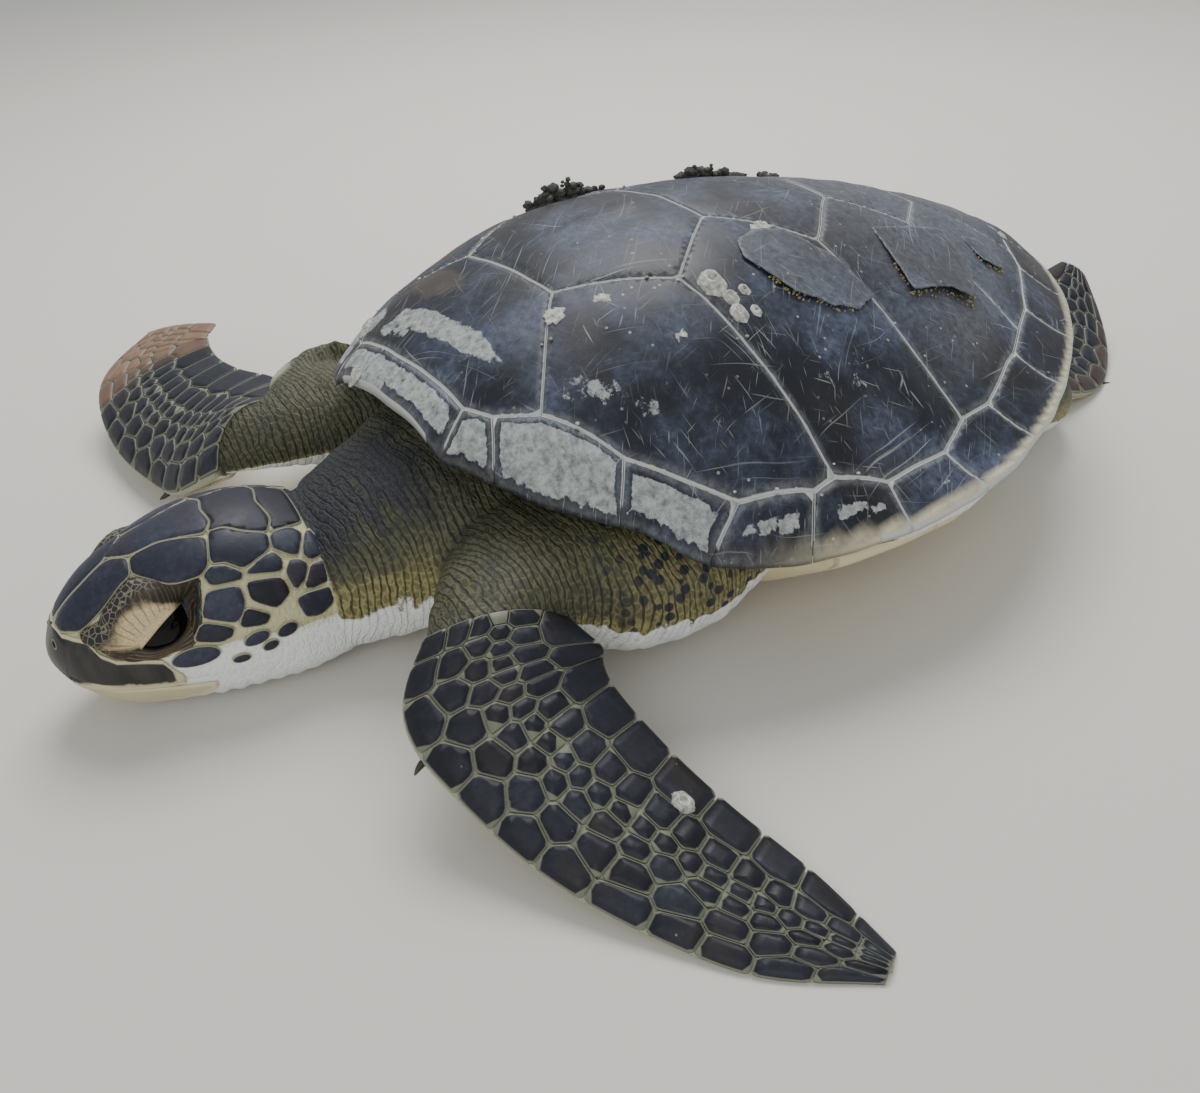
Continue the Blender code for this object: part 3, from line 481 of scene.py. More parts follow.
def drawn_in(points, amount):
    """The outline moved inwards by amount, each corner along its own bisector."""
    area = sum(a.x * b.y - b.x * a.y for a, b in zip(points, points[1:] + points[:1]))
    turn = 1.0 if area > 0 else -1.0
    moved = []
    for i, here in enumerate(points):
        to_here = (here - points[i - 1]).normalized()
        onward = (points[(i + 1) % len(points)] - here).normalized()
        normals = [Vector((-d.y, d.x)) * turn for d in (to_here, onward)]
        bisector = normals[0] + normals[1]
        moved.append(here + bisector * (amount / max(0.4, bisector.dot(normals[0]))))
    return moved


def close_set(points, step):
    """The outline with more points along each of its sides."""
    result = []
    for a, b in zip(points, points[1:] + points[:1]):
        count = max(1, round((b - a).length / step))
        result += [a.lerp(b, k / count) for k in range(count)]
    return result


def rounded(points, share):
    """The outline with each corner cut off twice, by a share of its sides."""
    for part in (share, share * 0.6):
        result = []
        for a, b in zip(points, points[1:] + points[:1]):
            result += [a.lerp(b, part), b.lerp(a, part)]
        points = result
    return points


def edge_distances(spots, outline):
    """Distance of each spot to the outline, all in the flat."""
    starts = np.array([tuple(p[:2]) for p in outline])
    runs = np.roll(starts, -1, axis=0) - starts
    best = np.full(len(spots), 1e9)
    for start, run in zip(starts, runs):
        share = np.clip(((spots - start) @ run) / max(run @ run, 1e-12), 0.0, 1.0)
        best = np.minimum(best, np.linalg.norm(spots - start - share[:, None] * run, axis=1))
    return best


def wavered(points, height, scale, reach):
    """The outline with each of its points moved a little by noise."""
    return [p + noise.noise_vector(Vector((p.x, p.y, height)) * scale).xy * reach for p in points]


def flat_plate(outline, cell, rings=RINGS_IN):
    """A flat double sheet; layer "over" is 1 on its upper side, "edge" the way in from its outline."""
    bm = bmesh.new()
    face = bm.faces.new([bm.verts.new((p.x, p.y, 0.0)) for p in outline])
    for width in rings:
        bmesh.ops.inset_region(bm, faces=[face], thickness=width, use_even_offset=True)
    for axis in (0, 1):
        low, high = (pick(p[axis] for p in outline) for pick in (min, max))
        count = max(1, round((high - low) / cell))
        normal = Vector((1 - axis, axis, 0))
        for step in range(1, count):
            parts = bm.verts[:] + bm.edges[:] + bm.faces[:]
            bmesh.ops.bisect_plane(bm, geom=parts, dist=cell * 0.04, plane_no=normal,
                                   plane_co=normal * mix(low, high, step / count))
    bmesh.ops.triangulate(bm, faces=[f for f in bm.faces if len(f.verts) > 4])
    over, edge = layers(bm, "over", "edge")
    for vert, away in zip(bm.verts[:], edge_distances(np.array([v.co[:2] for v in bm.verts]), outline)):
        vert[edge] = away
    raised = bmesh.ops.extrude_face_region(bm, geom=bm.faces[:], use_keep_orig=True)
    for item in raised["geom"]:
        if isinstance(item, bmesh.types.BMVert):
            item[over] = 1.0
    return bm, over, edge


def round_drop(away, radius):
    """How far below the top a rounded edge lies at a way from the edge."""
    if away >= radius:
        return 0.0
    return radius - sqrt(max(0.0, radius * radius - (radius - away) ** 2))


# ------------ the shell
# Worn places on the shell seen from above: middle, half-length, half-width in metres, turn, strength.
WORN = (
    (0.005, -0.1335, 0.034, 0.0046, 0.05, 1.0),
    (-0.022, -0.14, 0.012, 0.005, 0.1, 0.62),
    (-0.012, -0.159, 0.012, 0.006, 0.0, 1.0),
    (-0.05, -0.142, 0.014, 0.008, 0.5, 0.8),
    (-0.095, -0.09, 0.016, 0.006, 0.9, 0.7),
    (0.095, -0.03, 0.02, 0.01, 1.2, 0.4),
    (0.07, -0.113, 0.022, 0.005, 0.8, 0.52),
    (-0.06, 0.05, 0.022, 0.014, 0.7, 0.55),
    (-0.03, -0.035, 0.016, 0.009, 0.2, 0.5),
)
# Rim plates whose top layer is gone: how thoroughly, and the width of the dark margin left round it.
WORN_PLATES = {"marginal_1_left": (0.9, 0.0008), "marginal_2_left": (1.1, 0.001),
               "marginal_3_left": (1.2, 0.0016), "marginal_4_left": (1.15, 0.003),
               "marginal_5_left": (1.1, 0.0042), "marginal_6_left": (0.72, 0.005), "nuchal": (0.8, 0.0012),
               "marginal_1_right": (0.8, 0.0015), "marginal_2_right": (0.9, 0.002),
               "marginal_4_right": (0.9, 0.003), "marginal_5_right": (0.7, 0.004)}
ALGAE = ((-0.027, -0.119, 0.019, 0.009), (-0.06, -0.1, 0.016, 0.012), (-0.08, 0.02, 0.02, 0.012))


def keel_ridge(x, y):
    return 0.0008 * bump_at(x, 0.0, 0.007) * ramp(y, -0.12, 0.06)


def oval_way(x, y, cx, cy, long_half, wide_half, turn=0.0):
    """1 on the outline of an oval, 0 in its middle."""
    dx, dy = x - cx, y - cy
    along, across = dx * cos(turn) + dy * sin(turn), dy * cos(turn) - dx * sin(turn)
    return sqrt((along / long_half) ** 2 + (across / wide_half) ** 2)


def worn_at(x, y):
    """How much of the top layer is gone, 0 to 1, in the worn ovals."""
    found = 0.0
    for cx, cy, long_half, wide_half, turn, strength in WORN:
        way = oval_way(x, y, cx, cy, long_half, wide_half, turn)
        found = max(found, strength * smooth_step((1.25 - way) / 0.5))
    return found


def scute(name, outline, shell):
    """One plate of the shell, wavy at its seams, round at its edge, a little swollen in the middle."""
    bm, over, edge = flat_plate(drawn_in(wavered(close_set(outline, 0.004), 0.3, 70.0, 0.0006), GAP / 2),
                                shell.cell)
    worn, bare, margin, rear, algae, dull = layers(bm, "worn", "bare", "margin", "rear", "algae", "dull")
    for vert in bm.verts:
        x, y = vert.co.xy
        height = top(x, y)
        depth = plate_depth(x, y)
        near = nearness_to_rim(x, y)
        if vert[over] > 0.5:
            swell = shell.bulge * smooth_step(vert[edge] / 0.014) * fall(near, 0.8, 0.2)
            relief = 0.0004 * noise.noise(Vector((x, y, 0.0)) * 90.0)
            drop = round_drop(vert[edge], min(shell.round, depth * 0.45))
            vert.co.z = height + swell + relief * smooth_step(vert[edge] / 0.004) + keel_ridge(x, y) - drop
        else:
            vert.co.z = height - depth + 0.4 * round_drop(vert[edge], shell.round)
        vert[worn] = worn_at(x, y)
        vert[bare], vert[margin] = WORN_PLATES.get(name, (0.0, 0.001))
        vert[algae] = max(smooth_step(1.4 - oval_way(x, y, *spot)) for spot in ALGAE)
        vert[dull] = ramp(y, -0.015, 0.06) * fall(near, 0.74, 0.12)
        if near > 0.985 and y < -0.05:
            vert[edge] += 0.0012
        vert[rear] = ramp(near, 0.975, 0.015) * ramp(y, -0.1, 0.06)
        vert.co = SHELL_TURN @ vert.co
    return bm


LIME_SPECK = "#a9aaa4"
ALGAE_FILM = "#4d4335"
UNDER_HORN = "#5f6868"
SCRATCH_TURNS = (0.3, -0.8, 1.2, 2.3, 1.75, -0.25)      # directions of the scratches, in radians


def scute_material(shell, name, rim):
    """Keratin scutes: a dark satin horn with a blue-grey bloom, scratches, pale specks and pale edges."""
    made, shader, add, spot, edge, worn, bare, margin, rear, algae, dull = start_material(
        name, 0.45, 1.5, "edge", "worn", "bare", "margin", "rear", "algae", "dull")
    # clouds of bloom a few centimetres across, broken up finely
    cloud = add("TexNoise", {"Scale": 24.0, "Detail": 9.0, "Roughness": 0.68})
    fine = add("TexNoise", {"Scale": 330.0, "Detail": 5.0, "Roughness": 0.75})
    brown = add("TexNoise", {"Scale": 17.0, "Detail": 6.0, "W": 3.0}, noise_dimensions="4D")
    bloom = add("MapRange", (cloud, 0.4, 0.68), **SOFT)
    grain = add("MapRange", (fine, 0.32, 0.68, 0.15, 1.0))
    hazy = add("Math", (bloom, grain), **TIMES)
    rust = add("MapRange", (brown, 0.48, 0.68, 0.0, 0.7), **SOFT)
    tired = add("MapRange", (fine, 0.35, 0.7, 0.25, 0.75))
    tired = add("Math", (tired, dull), **TIMES)
    # hair-fine scratches in several directions: only the narrow crest of a drawn-out noise counts
    bend = add("TexNoise", {"Scale": 22.0, "Detail": 1.0}).outputs["Color"]
    bend = add("VectorMath", {0: bend, 3: 0.012}, operation="SCALE")
    bent = add("VectorMath", (spot, bend), **PLUS)
    scratch = 0.0
    for number, angle in enumerate(SCRATCH_TURNS):
        turned = add("Mapping", {"Vector": bent, "Location": (number * 0.3, 0.0, number * 0.1),
                                 "Rotation": (0.0, 0.0, angle), "Scale": (0.055, 0.0007, 0.008)},
                     vector_type="TEXTURE")
        line = add("TexNoise", {"Vector": turned, "Scale": 1.0, "Detail": 1.0, "Roughness": 0.4})
        crest = add("MapRange", (line, 0.7, 0.78), **SOFT)
        scratch = add("Math", (crest, scratch), **LARGER)
    where = add("TexNoise", {"Scale": 34.0, "Detail": 2.0})
    where = add("MapRange", (where, 0.4, 0.62, 0.08, 0.42))
    scratch = add("Math", (scratch, where), **TIMES)
    # specks of lime under a millimetre across, thicker in some places
    speck = add("TexVoronoi", {"Scale": 240.0, "Randomness": 1.0})
    speck = add("MapRange", (speck, 0.16, 0.1), **SOFT)
    thick = add("TexNoise", {"Scale": 75.0, "Detail": 3.0, "Roughness": 0.7})
    thick = add("MapRange", (thick, 0.52, 0.64, 0.0, 0.8))
    speck = add("Math", (speck, thick), **TIMES)
    # a brown film of algae with a ragged edge
    film = add("MapRange", (cloud, 0.35, 0.6, -0.35, 0.35))
    film = add("Math", (algae, film), **PLUS)
    film = add("MapRange", (film, 0.25, 0.75, 0.0, 0.65), **SOFT)
    # worn places have ragged, crisp edges and are mottled inside
    ragged = add("TexNoise", {"Scale": 160.0, "Detail": 7.0, "Roughness": 0.72})
    shift = add("MapRange", (ragged, 0.25, 0.75, -0.42, 0.3))
    inside = add("Math", (edge, margin), operation="SUBTRACT")
    inside = add("MapRange", (inside, 0.0, 0.0022))
    inside = add("Math", (inside, bare), **TIMES)
    gone = add("Math", (inside, worn), **LARGER)
    gone = add("Math", (gone, shift), **PLUS)
    gone = add("MapRange", (gone, 0.48, 0.58, 0.0, 0.92))
    mottled = add("MapRange", (fine, 0.3, 0.62))
    laid_bare = add("Mix", {0: mottled, 6: UNDER_HORN, 7: shell.worn}, **TINT)
    # pale edges, and a little dust beside them
    pale = add("MapRange", (fine, 0.2, 0.5, 0.6, 1.0))
    pale = add("Math", (rear, pale), **TIMES)
    seam = add("MapRange", (edge, 0.0005, 0.00012, 0.0, 0.95), **SOFT)
    dusty = add("MapRange", (edge, 0.0026, 0.0006, 0.0, 0.2), **SOFT)
    dusty = add("Math", (dusty, grain), **TIMES)
    seam = add("Math", (seam, dusty), **LARGER)
    color = shell.plate
    for share, tone in ((hazy, shell.haze), (rust, shell.brown), (tired, shell.dull), (scratch, shell.worn),
                        (speck, LIME_SPECK), (film, ALGAE_FILM), (gone, laid_bare),
                        *([(pale, shell.rim_edge)] if rim else []), (seam, shell.seam)):
        color = add("Mix", {0: share, 6: color, 7: tone}, **TINT)
    rough = add("MapRange", (cloud, 0.3, 0.7, 0.38, 0.62))
    rough = add("Math", (rough, gone), **LARGER)
    bumps = add("Math", (fine, scratch), operation="SUBTRACT")
    relief = add("Bump", {"Height": bumps, "Strength": 0.3, "Distance": 0.0003})
    plug(shader, {"Base Color": color, "Roughness": rough, "Specular IOR Level": 0.4, "Normal": relief})
    return made


class TURTLE_OT_shell_plates(bpy.types.Operator):
    """Build the plates of the shell"""
    bl_idname = "turtle.shell_plates"
    bl_label = "Shell plates"

    def execute(self, context):
        shell = context.scene.turtle_shell
        plain = scute_material(shell, "scute_horn", False)
        rim = scute_material(shell, "rim_horn", True)
        for name, outline in plate_outlines().items():
            on_rim = name.startswith(("marginal", "nuchal"))
            horn, slot = (rim, "shell_rim") if on_rim else (plain, "shell_plate")
            add_piece(f"scute_{name}", scute(name, outline, shell), horn, slot, name)
        return {"FINISHED"}


BELLY_SEAMS = (-0.11, -0.078, -0.036, 0.016, 0.06, 0.094)     # where they cross the midline
BELLY_SIDE_SEAM = 0.066     # how far from the midline the seams beside the bridge lie
BELLY_SLANT = 0.18          # how far the cross seams slant to the rear
BELLY_GRAIN = 0.0024        # size of the mesh of the belly


def belly_seam(spot):
    """How far a point of the belly is from the nearest seam between its plates."""
    x, y = abs(spot.x), spot.y
    side = abs(x - BELLY_SIDE_SEAM) if -0.07 < y < 0.06 else 1.0
    return min(x, side, *(abs(y - across - BELLY_SLANT * x) for across in BELLY_SEAMS))


GROWTH_LINE = "#a88f5c"
BELLY_SEAM = "#8c7850"


def belly_material(shell):
    """Plastron horn: thin, waxy and cream, a little translucent, with faint brown growth lines."""
    made, shader, add, _, line = start_material("belly_horn", 0.4, 1.5, "line")
    cloud = add("TexNoise", {"Scale": 28.0, "Detail": 5.0})
    shade = add("MapRange", (cloud, 0.35, 0.75, 0.0, 0.35))
    seam = add("MapRange", (line, 0.0008, 0.0002, 0.0, 0.7), **SOFT)
    color = add("Mix", {0: shade, 6: shell.belly, 7: GROWTH_LINE}, **TINT)
    color = add("Mix", {0: seam, 6: color, 7: BELLY_SEAM}, **TINT)
    plug(shader, {"Base Color": color, "Subsurface Weight": 0.15, "Subsurface Radius": (0.003, 0.002, 0.001)})
    return made


def even_body(bm, size):
    """The closed bodies in bm joined into one skin of even faces."""
    bmesh.ops.recalc_face_normals(bm, faces=bm.faces)
    mesh = bpy.data.meshes.new("even")
    bm.to_mesh(mesh)
    bm.free()
    holder = object_with("even", mesh)
    step = holder.modifiers.new("even", "REMESH")
    step.mode = "VOXEL"
    step.voxel_size = size
    made = bpy.data.meshes.new_from_object(holder.evaluated_get(bpy.context.evaluated_depsgraph_get()))
    bpy.data.objects.remove(holder)
    bpy.data.meshes.remove(mesh)
    return bmesh_from(made)


def soften(bm, rounds):
    for _ in range(rounds):
        bmesh.ops.smooth_vert(bm, verts=bm.verts, factor=0.5, use_axis_x=True, use_axis_y=True, use_axis_z=True)
    for vert in bm.verts:
        vert.co.z = max(vert.co.z, 0.0)


class TURTLE_OT_belly(bpy.types.Operator):
    """Build the belly plates"""
    bl_idname = "turtle.belly"
    bl_label = "Belly plates"

    def execute(self, context):
        hull = bmesh.new()
        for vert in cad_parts["plastron"].data.vertices:
            hull.verts.new(vert.co)
        bmesh.ops.remove_doubles(hull, verts=hull.verts, dist=1e-5)
        bmesh.ops.convex_hull(hull, input=hull.verts)
        bmesh.ops.delete(hull, geom=[vert for vert in hull.verts if not vert.link_faces], context="VERTS")
        bm = even_body(hull, BELLY_GRAIN)
        soften(bm, 6)
        mesh = add_piece("belly", bm, belly_material(context.scene.turtle_shell), "belly_plate", "plastron")
        set_values(mesh, "line", [belly_seam(SHELL_TURN.inverted() @ vert.co) for vert in mesh.vertices])
        return {"FINISHED"}


# ------------ head, as in the frame
HEAD_BACK = Vector((-0.0125, -0.194, 0.0))
HEAD_TIP = Vector((-0.022, -0.288, 0.0))
HEAD_LENGTH = (HEAD_TIP - HEAD_BACK).length
AHEAD = (HEAD_TIP - HEAD_BACK).normalized()
ASIDE = Vector((-AHEAD.y, AHEAD.x, 0.0))
HEAD_TOP = (0.0545, 0.061, 0.0635, 0.0625, 0.059, 0.0515, 0.0355)
HEAD_LOW = (0.0015, -0.001, -0.001, -0.0006, 0.0018, 0.0065, 0.0225)
HEAD_HALF = (0.0365, 0.037, 0.0348, 0.031, 0.0255, 0.0185, 0.0085)
MOUTH_BACK = 0.36
MOUTH_HEIGHT = 0.015
MOUTH_TIP_HEIGHT = 0.0195
EYE_SHARE = 0.615
EYE_HEIGHT = 0.0395
EYE_OUT = 0.019
EYE_RADIUS = 0.011
EYE_SUNK = 0.0018
SNOUT = 0.9                # from here the snout closes round to its tip
ORBIT = (0.655, 56.0)       # middle of the eye's hollow: share, degrees


@lru_cache(maxsize=None)
def head_section(share):
    high, low, half = (through(v, share) for v in (HEAD_TOP, HEAD_LOW, HEAD_HALF))
    level = mix(low, high, 0.42)
    return level, high - level, level - low, half


def in_orbit(share, angle):
    """0 in the middle of the eye's hollow, 1 on its outline."""
    if not 0.4 < share < 0.9:
        return 2.0
    arm = head_flat(share, abs(angle)) - head_flat(*ORBIT)
    return arm.length / stops(orbit_table(), atan2(arm.y, arm.x))


def head_relief(share, angle):
    """How far the head stands out from its plain form: brow, cheek, the eye's hollow, the mouth."""
    turn = abs(angle)
    brow = 0.0012 * bump_at(share, 0.5, 0.16) * bump_at(turn, 34.0, 9.0)
    cheek = 0.001 * bump_at(share, 0.28, 0.16) * bump_at(turn, 68.0, 24.0)
    hollow = -0.0045 * fall(in_orbit(share, turn), 0.84, 0.14)
    crown = 0.0005 * bump_at(turn, 0.0, 30.0) * bump_at(share, 0.45, 0.25)
    groove = -0.0009 * bump_at(turn, 108.0, 2.6) * ramp(share, 0.36, 0.04)
    throat = ramp(turn, 112.0, 20.0) * fall(share, 0.5, 0.2)
    fold = 0.0004 * sin(share * 90.0 + 0.06 * turn) * throat
    return brow + cheek + hollow + crown + groove + fold


def head_point(share, angle, rise=0.0):
    """A point of the head: share of its length, angle in degrees from its top, positive on the left."""
    share = clamp(share)
    level, above, below, half = head_section(round(share, 5))
    a = radians(angle)
    reach, power = (above, 2.25) if cos(a) > 0 else (below, 3.0)
    radius = (abs(sin(a) / half) ** power + abs(cos(a) / reach) ** power) ** (-1.0 / power)
    ahead = clamp((share - SNOUT) / (1.0 - SNOUT))
    radius = (radius + rise + head_relief(share, angle)) * sqrt(max(0.0, 1.0 - ahead ** 2.6))
    middle = HEAD_BACK.lerp(HEAD_TIP, share) + UP * level
    return middle + ASIDE * (radius * sin(a)) + UP * (radius * cos(a))


def head_ring(share, turn, rise):
    return head_point(share, turn * 360.0 - 180.0, rise)


# ------------ neck, limbs and tail, as in the frame
def vectors(*points):
    return tuple(Vector(p) for p in points)


NECK_POINTS = vectors((0.000, -0.118, 0.044), (-0.002, -0.148, 0.044), (-0.007, -0.172, 0.037),
                      (-0.0124, -0.1937, 0.029))
NECK_HALF = (0.05, 0.052, 0.043, 0.0365)
NECK_ABOVE = (0.03, 0.032, 0.03, 0.0255)
NECK_BELOW = (0.038, 0.039, 0.036, 0.027)
TAIL_POINTS = vectors((0.000, 0.1, 0.03), (0.001, 0.145, 0.024), (0.003, 0.186, 0.013))
TAIL_HALF = (0.014, 0.011, 0.003)
TAIL_HEIGHT = (0.015, 0.01, 0.003)
TAIL_END = 0.0008           # half-width at the very tip
OVAL = 2.2                  # power of a plain section; a larger one is squarer


def heading(points, share):
    return (through(points, share + 0.02) - through(points, share - 0.02)).normalized()


def section_point(center, side, half, above, below, fullness, turn):
    """A point of a rounded section, turn 0 at its side and a quarter at its top."""
    c, s = spoke(turn)
    power = fullness if s < 0 else min(fullness, 2.25)
    across = abs(c) ** (2 / power) * (1 if c > 0 else -1) * half
    height = abs(s) ** (2 / power) * (above if s > 0 else -below)
    return center + side * across + UP * height


def neck_point(share, turn, grow):
    share = share * 0.999
    side = across_of(heading(NECK_POINTS, clamp(share, 0.02, 0.98)))
    half, above, below = (through(v, share) + grow for v in (NECK_HALF, NECK_ABOVE, NECK_BELOW))
    fullness = mix(OVAL, 3.0, share)
    return section_point(through(NECK_POINTS, share), side, half, above, below, fullness, turn)


def tail_point(share, turn, grow):
    side = across_of(heading(TAIL_POINTS, clamp(share, 0.02, 0.98)))
    half, height = (max(TAIL_END, through(v, share) + grow) for v in (TAIL_HALF, TAIL_HEIGHT))
    return section_point(through(TAIL_POINTS, share), side, half, height, height, OVAL, turn)


JOINT = 0.78                # from here the upper part runs inside the blade
INSIDE = 0.22               # how far along the blade it runs
JOINT_THIN = 0.006          # how much thinner it is at its end


class Limb:
    """A limb: its upper part grows out of the shell, its blade is a thin paddle."""

    def __init__(self, names, root, halves, heights, axis, tilts, chords, thicks, trailing, claw_at):
        self.upper, self.lower, self.claw = names
        self.halves, self.heights, self.tilts, self.chords, self.thicks = halves, heights, tilts, chords, thicks
        self.root, self.axis = vectors(*root, axis[0]), vectors(*axis)
        self.trailing, self.claw_at = Vector(trailing), claw_at
        self.known = {}

    def frame(self, share):
        """Directions at a place along the blade: ahead, to the trailing edge, up through it."""
        key = round(share, 4)
        if key not in self.known:
            ahead = heading(self.axis, clamp(share, 0.02, 0.98))
            tilt = through(self.tilts, share)
            level = self.trailing - ahead * self.trailing.dot(ahead)
            level = Vector((level.x, level.y, 0.0)).normalized()
            back = (level * cos(tilt) + UP * sin(tilt)).normalized()
            up = ahead.cross(back).normalized()
            center = through(self.axis, share)
            chord, thick = through(self.chords, share), through(self.thicks, share)
            self.known[key] = (ahead, back, up if up.z > 0 else -up, center, chord, thick)
        return self.known[key]

    def surface(self, share, place, rise=0.0):
        """A point of the blade: place 0 at the leading edge, 1 at the trailing edge, below 0 underneath."""
        back, up, center, chord, thick = self.frame(clamp(share))[1:]
        across = abs(place)
        sign = 1.0 if place >= 0 else -1.0
        inside = clamp(across)
        swell = 1.35 * inside ** 0.5 * (1.0 - inside) ** 0.8 + 0.1 * smooth_step(inside / 0.03)
        arch = 0.35 * thick * sin(pi * inside)
        lift = sign * (swell * thick * 0.5 + rise) + arch
        return center + back * (chord * (across - 0.5)) + up * lift

    def blade_point(self, share, turn, rise, start=0.0):
        """The same point round a ring: turn 0 at the leading edge, a half at the trailing edge."""
        above = turn < 0.5
        part = turn * 2.0 if above else (1.0 - turn) * 2.0
        place = 0.5 - 0.5 * cos(pi * part)
        closing = sqrt(max(0.0, 1.0 - clamp((share - 0.93) / 0.07) ** 2))
        back, up, center, chord, thick = self.frame(clamp(mix(start, 1.0, share)))[1:]
        swell = 1.35 * place ** 0.5 * (1.0 - place) ** 0.8 + 0.1
        sign = 0.0 if part in (0.0, 1.0) else (1.0 if above else -1.0)
        lift = sign * max(0.0003, swell * thick * 0.5 * closing + rise) + 0.35 * thick * sin(pi * place)
        reach = chord * max(0.25, closing) + 2.0 * rise
        return center + back * (reach * (place - 0.5)) + up * lift

    def root_point(self, share, turn, rise):
        """A point of the upper part, which runs into the blade and thins out inside it."""
        if share >= JOINT:
            along = (share - JOINT) / (1.0 - JOINT) * INSIDE
            return self.blade_point(along, turn, rise - JOINT_THIN * along / INSIDE)
        part = share / JOINT
        turned = 1.0 if across_of(heading(self.root, 0.92)).dot(self.frame(0.0)[1]) < 0 else -1.0
        side = across_of(heading(self.root, clamp(part, 0.02, 0.98))) * turned
        half, height = (through(v, part) + rise for v in (self.halves, self.heights))
        plain = section_point(through(self.root, part), side, half, height, height, OVAL, turn)
        return plain.lerp(self.blade_point(0.0, turn, rise), ramp(part, 0.8, 0.2))


FRONT_THICKS = (0.024, 0.019, 0.015, 0.0115, 0.0085, 0.006, 0.0035)
HIND_CHORDS = (0.034, 0.044, 0.052, 0.053, 0.049, 0.036, 0.014)
HIND_THICKS = (0.02, 0.015, 0.012, 0.01, 0.008, 0.006, 0.0035)
THIGH_HALVES = (0.034, 0.03, 0.017)
THIGH_HEIGHTS = (0.024, 0.02, 0.011)
# Names, root, its halves and heights, blade, its tilts, chords and thicknesses, trailing side, claw's share.
LIMBS = (
    Limb(("arm_left", "flipper_left", "claw_front_left"),
         ((0.084, -0.052, 0.036), (0.072, -0.082, 0.036), (0.063, -0.112, 0.037), (0.063, -0.143, 0.04)),
         (0.014, 0.037, 0.042, 0.034, 0.023), (0.012, 0.026, 0.03, 0.026, 0.014),
         ((0.0815, -0.172, 0.0455), (0.104, -0.179, 0.03), (0.14, -0.172, 0.014),
          (0.183, -0.156, 0.0034), (0.2225, -0.137, 0.0004)),
         (-0.1, 0.1, 0.18, 0.1, 0.02), (0.046, 0.065, 0.06, 0.055, 0.047, 0.036, 0.01),
         FRONT_THICKS, (0, 1, 0), 0.24),
    Limb(("arm_right", "flipper_right", "claw_front_right"),
         ((-0.074, -0.079, 0.033), (-0.091, -0.108, 0.0365), (-0.099, -0.139, 0.04)),
         (0.036, 0.042, 0.038, 0.023), (0.026, 0.03, 0.025, 0.014),
         ((-0.093, -0.18, 0.04), (-0.134, -0.1915, 0.0285), (-0.18, -0.197, 0.026),
          (-0.219, -0.19, 0.031), (-0.237, -0.168, 0.037)),
         (0.3, 0.55, 0.5, 0.33, 0.2), (0.046, 0.065, 0.064, 0.063, 0.061, 0.056, 0.042),
         FRONT_THICKS, (0, 1, 0), 0.24),
    Limb(("thigh_left", "foot_left", "claw_hind_left"),
         ((0.052, 0.083, 0.0315), (0.0575, 0.111, 0.0235)), THIGH_HALVES, THIGH_HEIGHTS,
         ((0.049, 0.138, 0.0105), (0.0395, 0.17, 0.0072), (0.0225, 0.203, 0.0155), (0.003, 0.232, 0.03)),
         (0.0, 0.25, 0.45, 0.5), HIND_CHORDS, HIND_THICKS, (-1, 0, 0), 0.4),
    Limb(("thigh_right", "foot_right", "claw_hind_right"),
         ((-0.056, 0.086, 0.03), (-0.064, 0.114, 0.02)), THIGH_HALVES, THIGH_HEIGHTS,
         ((-0.063, 0.144, 0.0095), (-0.072, 0.18, 0.0042), (-0.074, 0.21, 0.002), (-0.068, 0.238, 0.001)),
         (0.0, 0.05, 0.05, 0.02), HIND_CHORDS, HIND_THICKS, (1, 0, 0), 0.4),
)


# ------------ the skin
def settle(point):
    """From the place it is drawn at to its place over the origin, never under the floor."""
    return Vector((point.x, point.y, max(0.0, point.z))) + MIDDLE


def under_rim(point):
    """Flesh that reaches the rim plates is pressed down to pass beneath them."""
    spot = SHELL_TURN.inverted() @ (point + MIDDLE)
    near = nearness_to_rim(spot.x, spot.y)
    if near > 1.14:
        return point
    middle = (WIDEST_AT - 0.5) * SHELL_LENGTH
    onto = 0.9999 / near if near > 0.84 else 1.0
    x, y = spot.x * onto, middle + (spot.y - middle) * onto
    level = min(top(x, y + step) - plate_depth(x, y + step) for step in (-0.007, 0.0, 0.007))
    spot.z = min(spot.z, level - 0.0013)
    return SHELL_TURN @ spot - MIDDLE


def root_place(limb, depth, share, turn):
    return under_rim(limb.root_point(share, turn, -depth))


def blade_place(limb, depth, share, turn):
    return limb.blade_point(share, turn, -depth)


def grown(*parts):
    """One bmesh of closed bodies: each part is its faces along, its faces round and its place."""
    bm = bmesh.new()
    for rings, around, place in parts:
        join_into(bm, tube(rings, around, place))
    return bm


def neck_and_arms(skin):
    """The neck and both arms as one body of even faces."""
    depth = skin.depth
    bm = grown((60, 64, lambda a, b: under_rim(neck_point(a, b, -depth))),
               (16, 64, lambda a, b: head_ring(a * 0.16, b, -depth - 0.004 * a)),
               *((60, 48, partial(root_place, limb, depth)) for limb in LIMBS[:2]))
    bm = even_body(bm, skin.grain)
    soften(bm, 14)
    bm.normal_update()
    for vert in bm.verts:
        p = vert.co
        near_head = smooth_step((p - HEAD_BACK).dot(AHEAD) / 0.012 + 1.2)
        along = Vector((p.x * 26.0, p.y * 150.0, p.z * 40.0))
        fold = abs(noise.noise(along)) * 2.0
        knobs = noise.noise(p * 260.0) * 0.0002
        sunk = skin.fold * (1.0 - min(1.0, fold)) * (1.0 - near_head)
        vert.co = p - vert.normal * sunk + vert.normal * knobs
    return bm


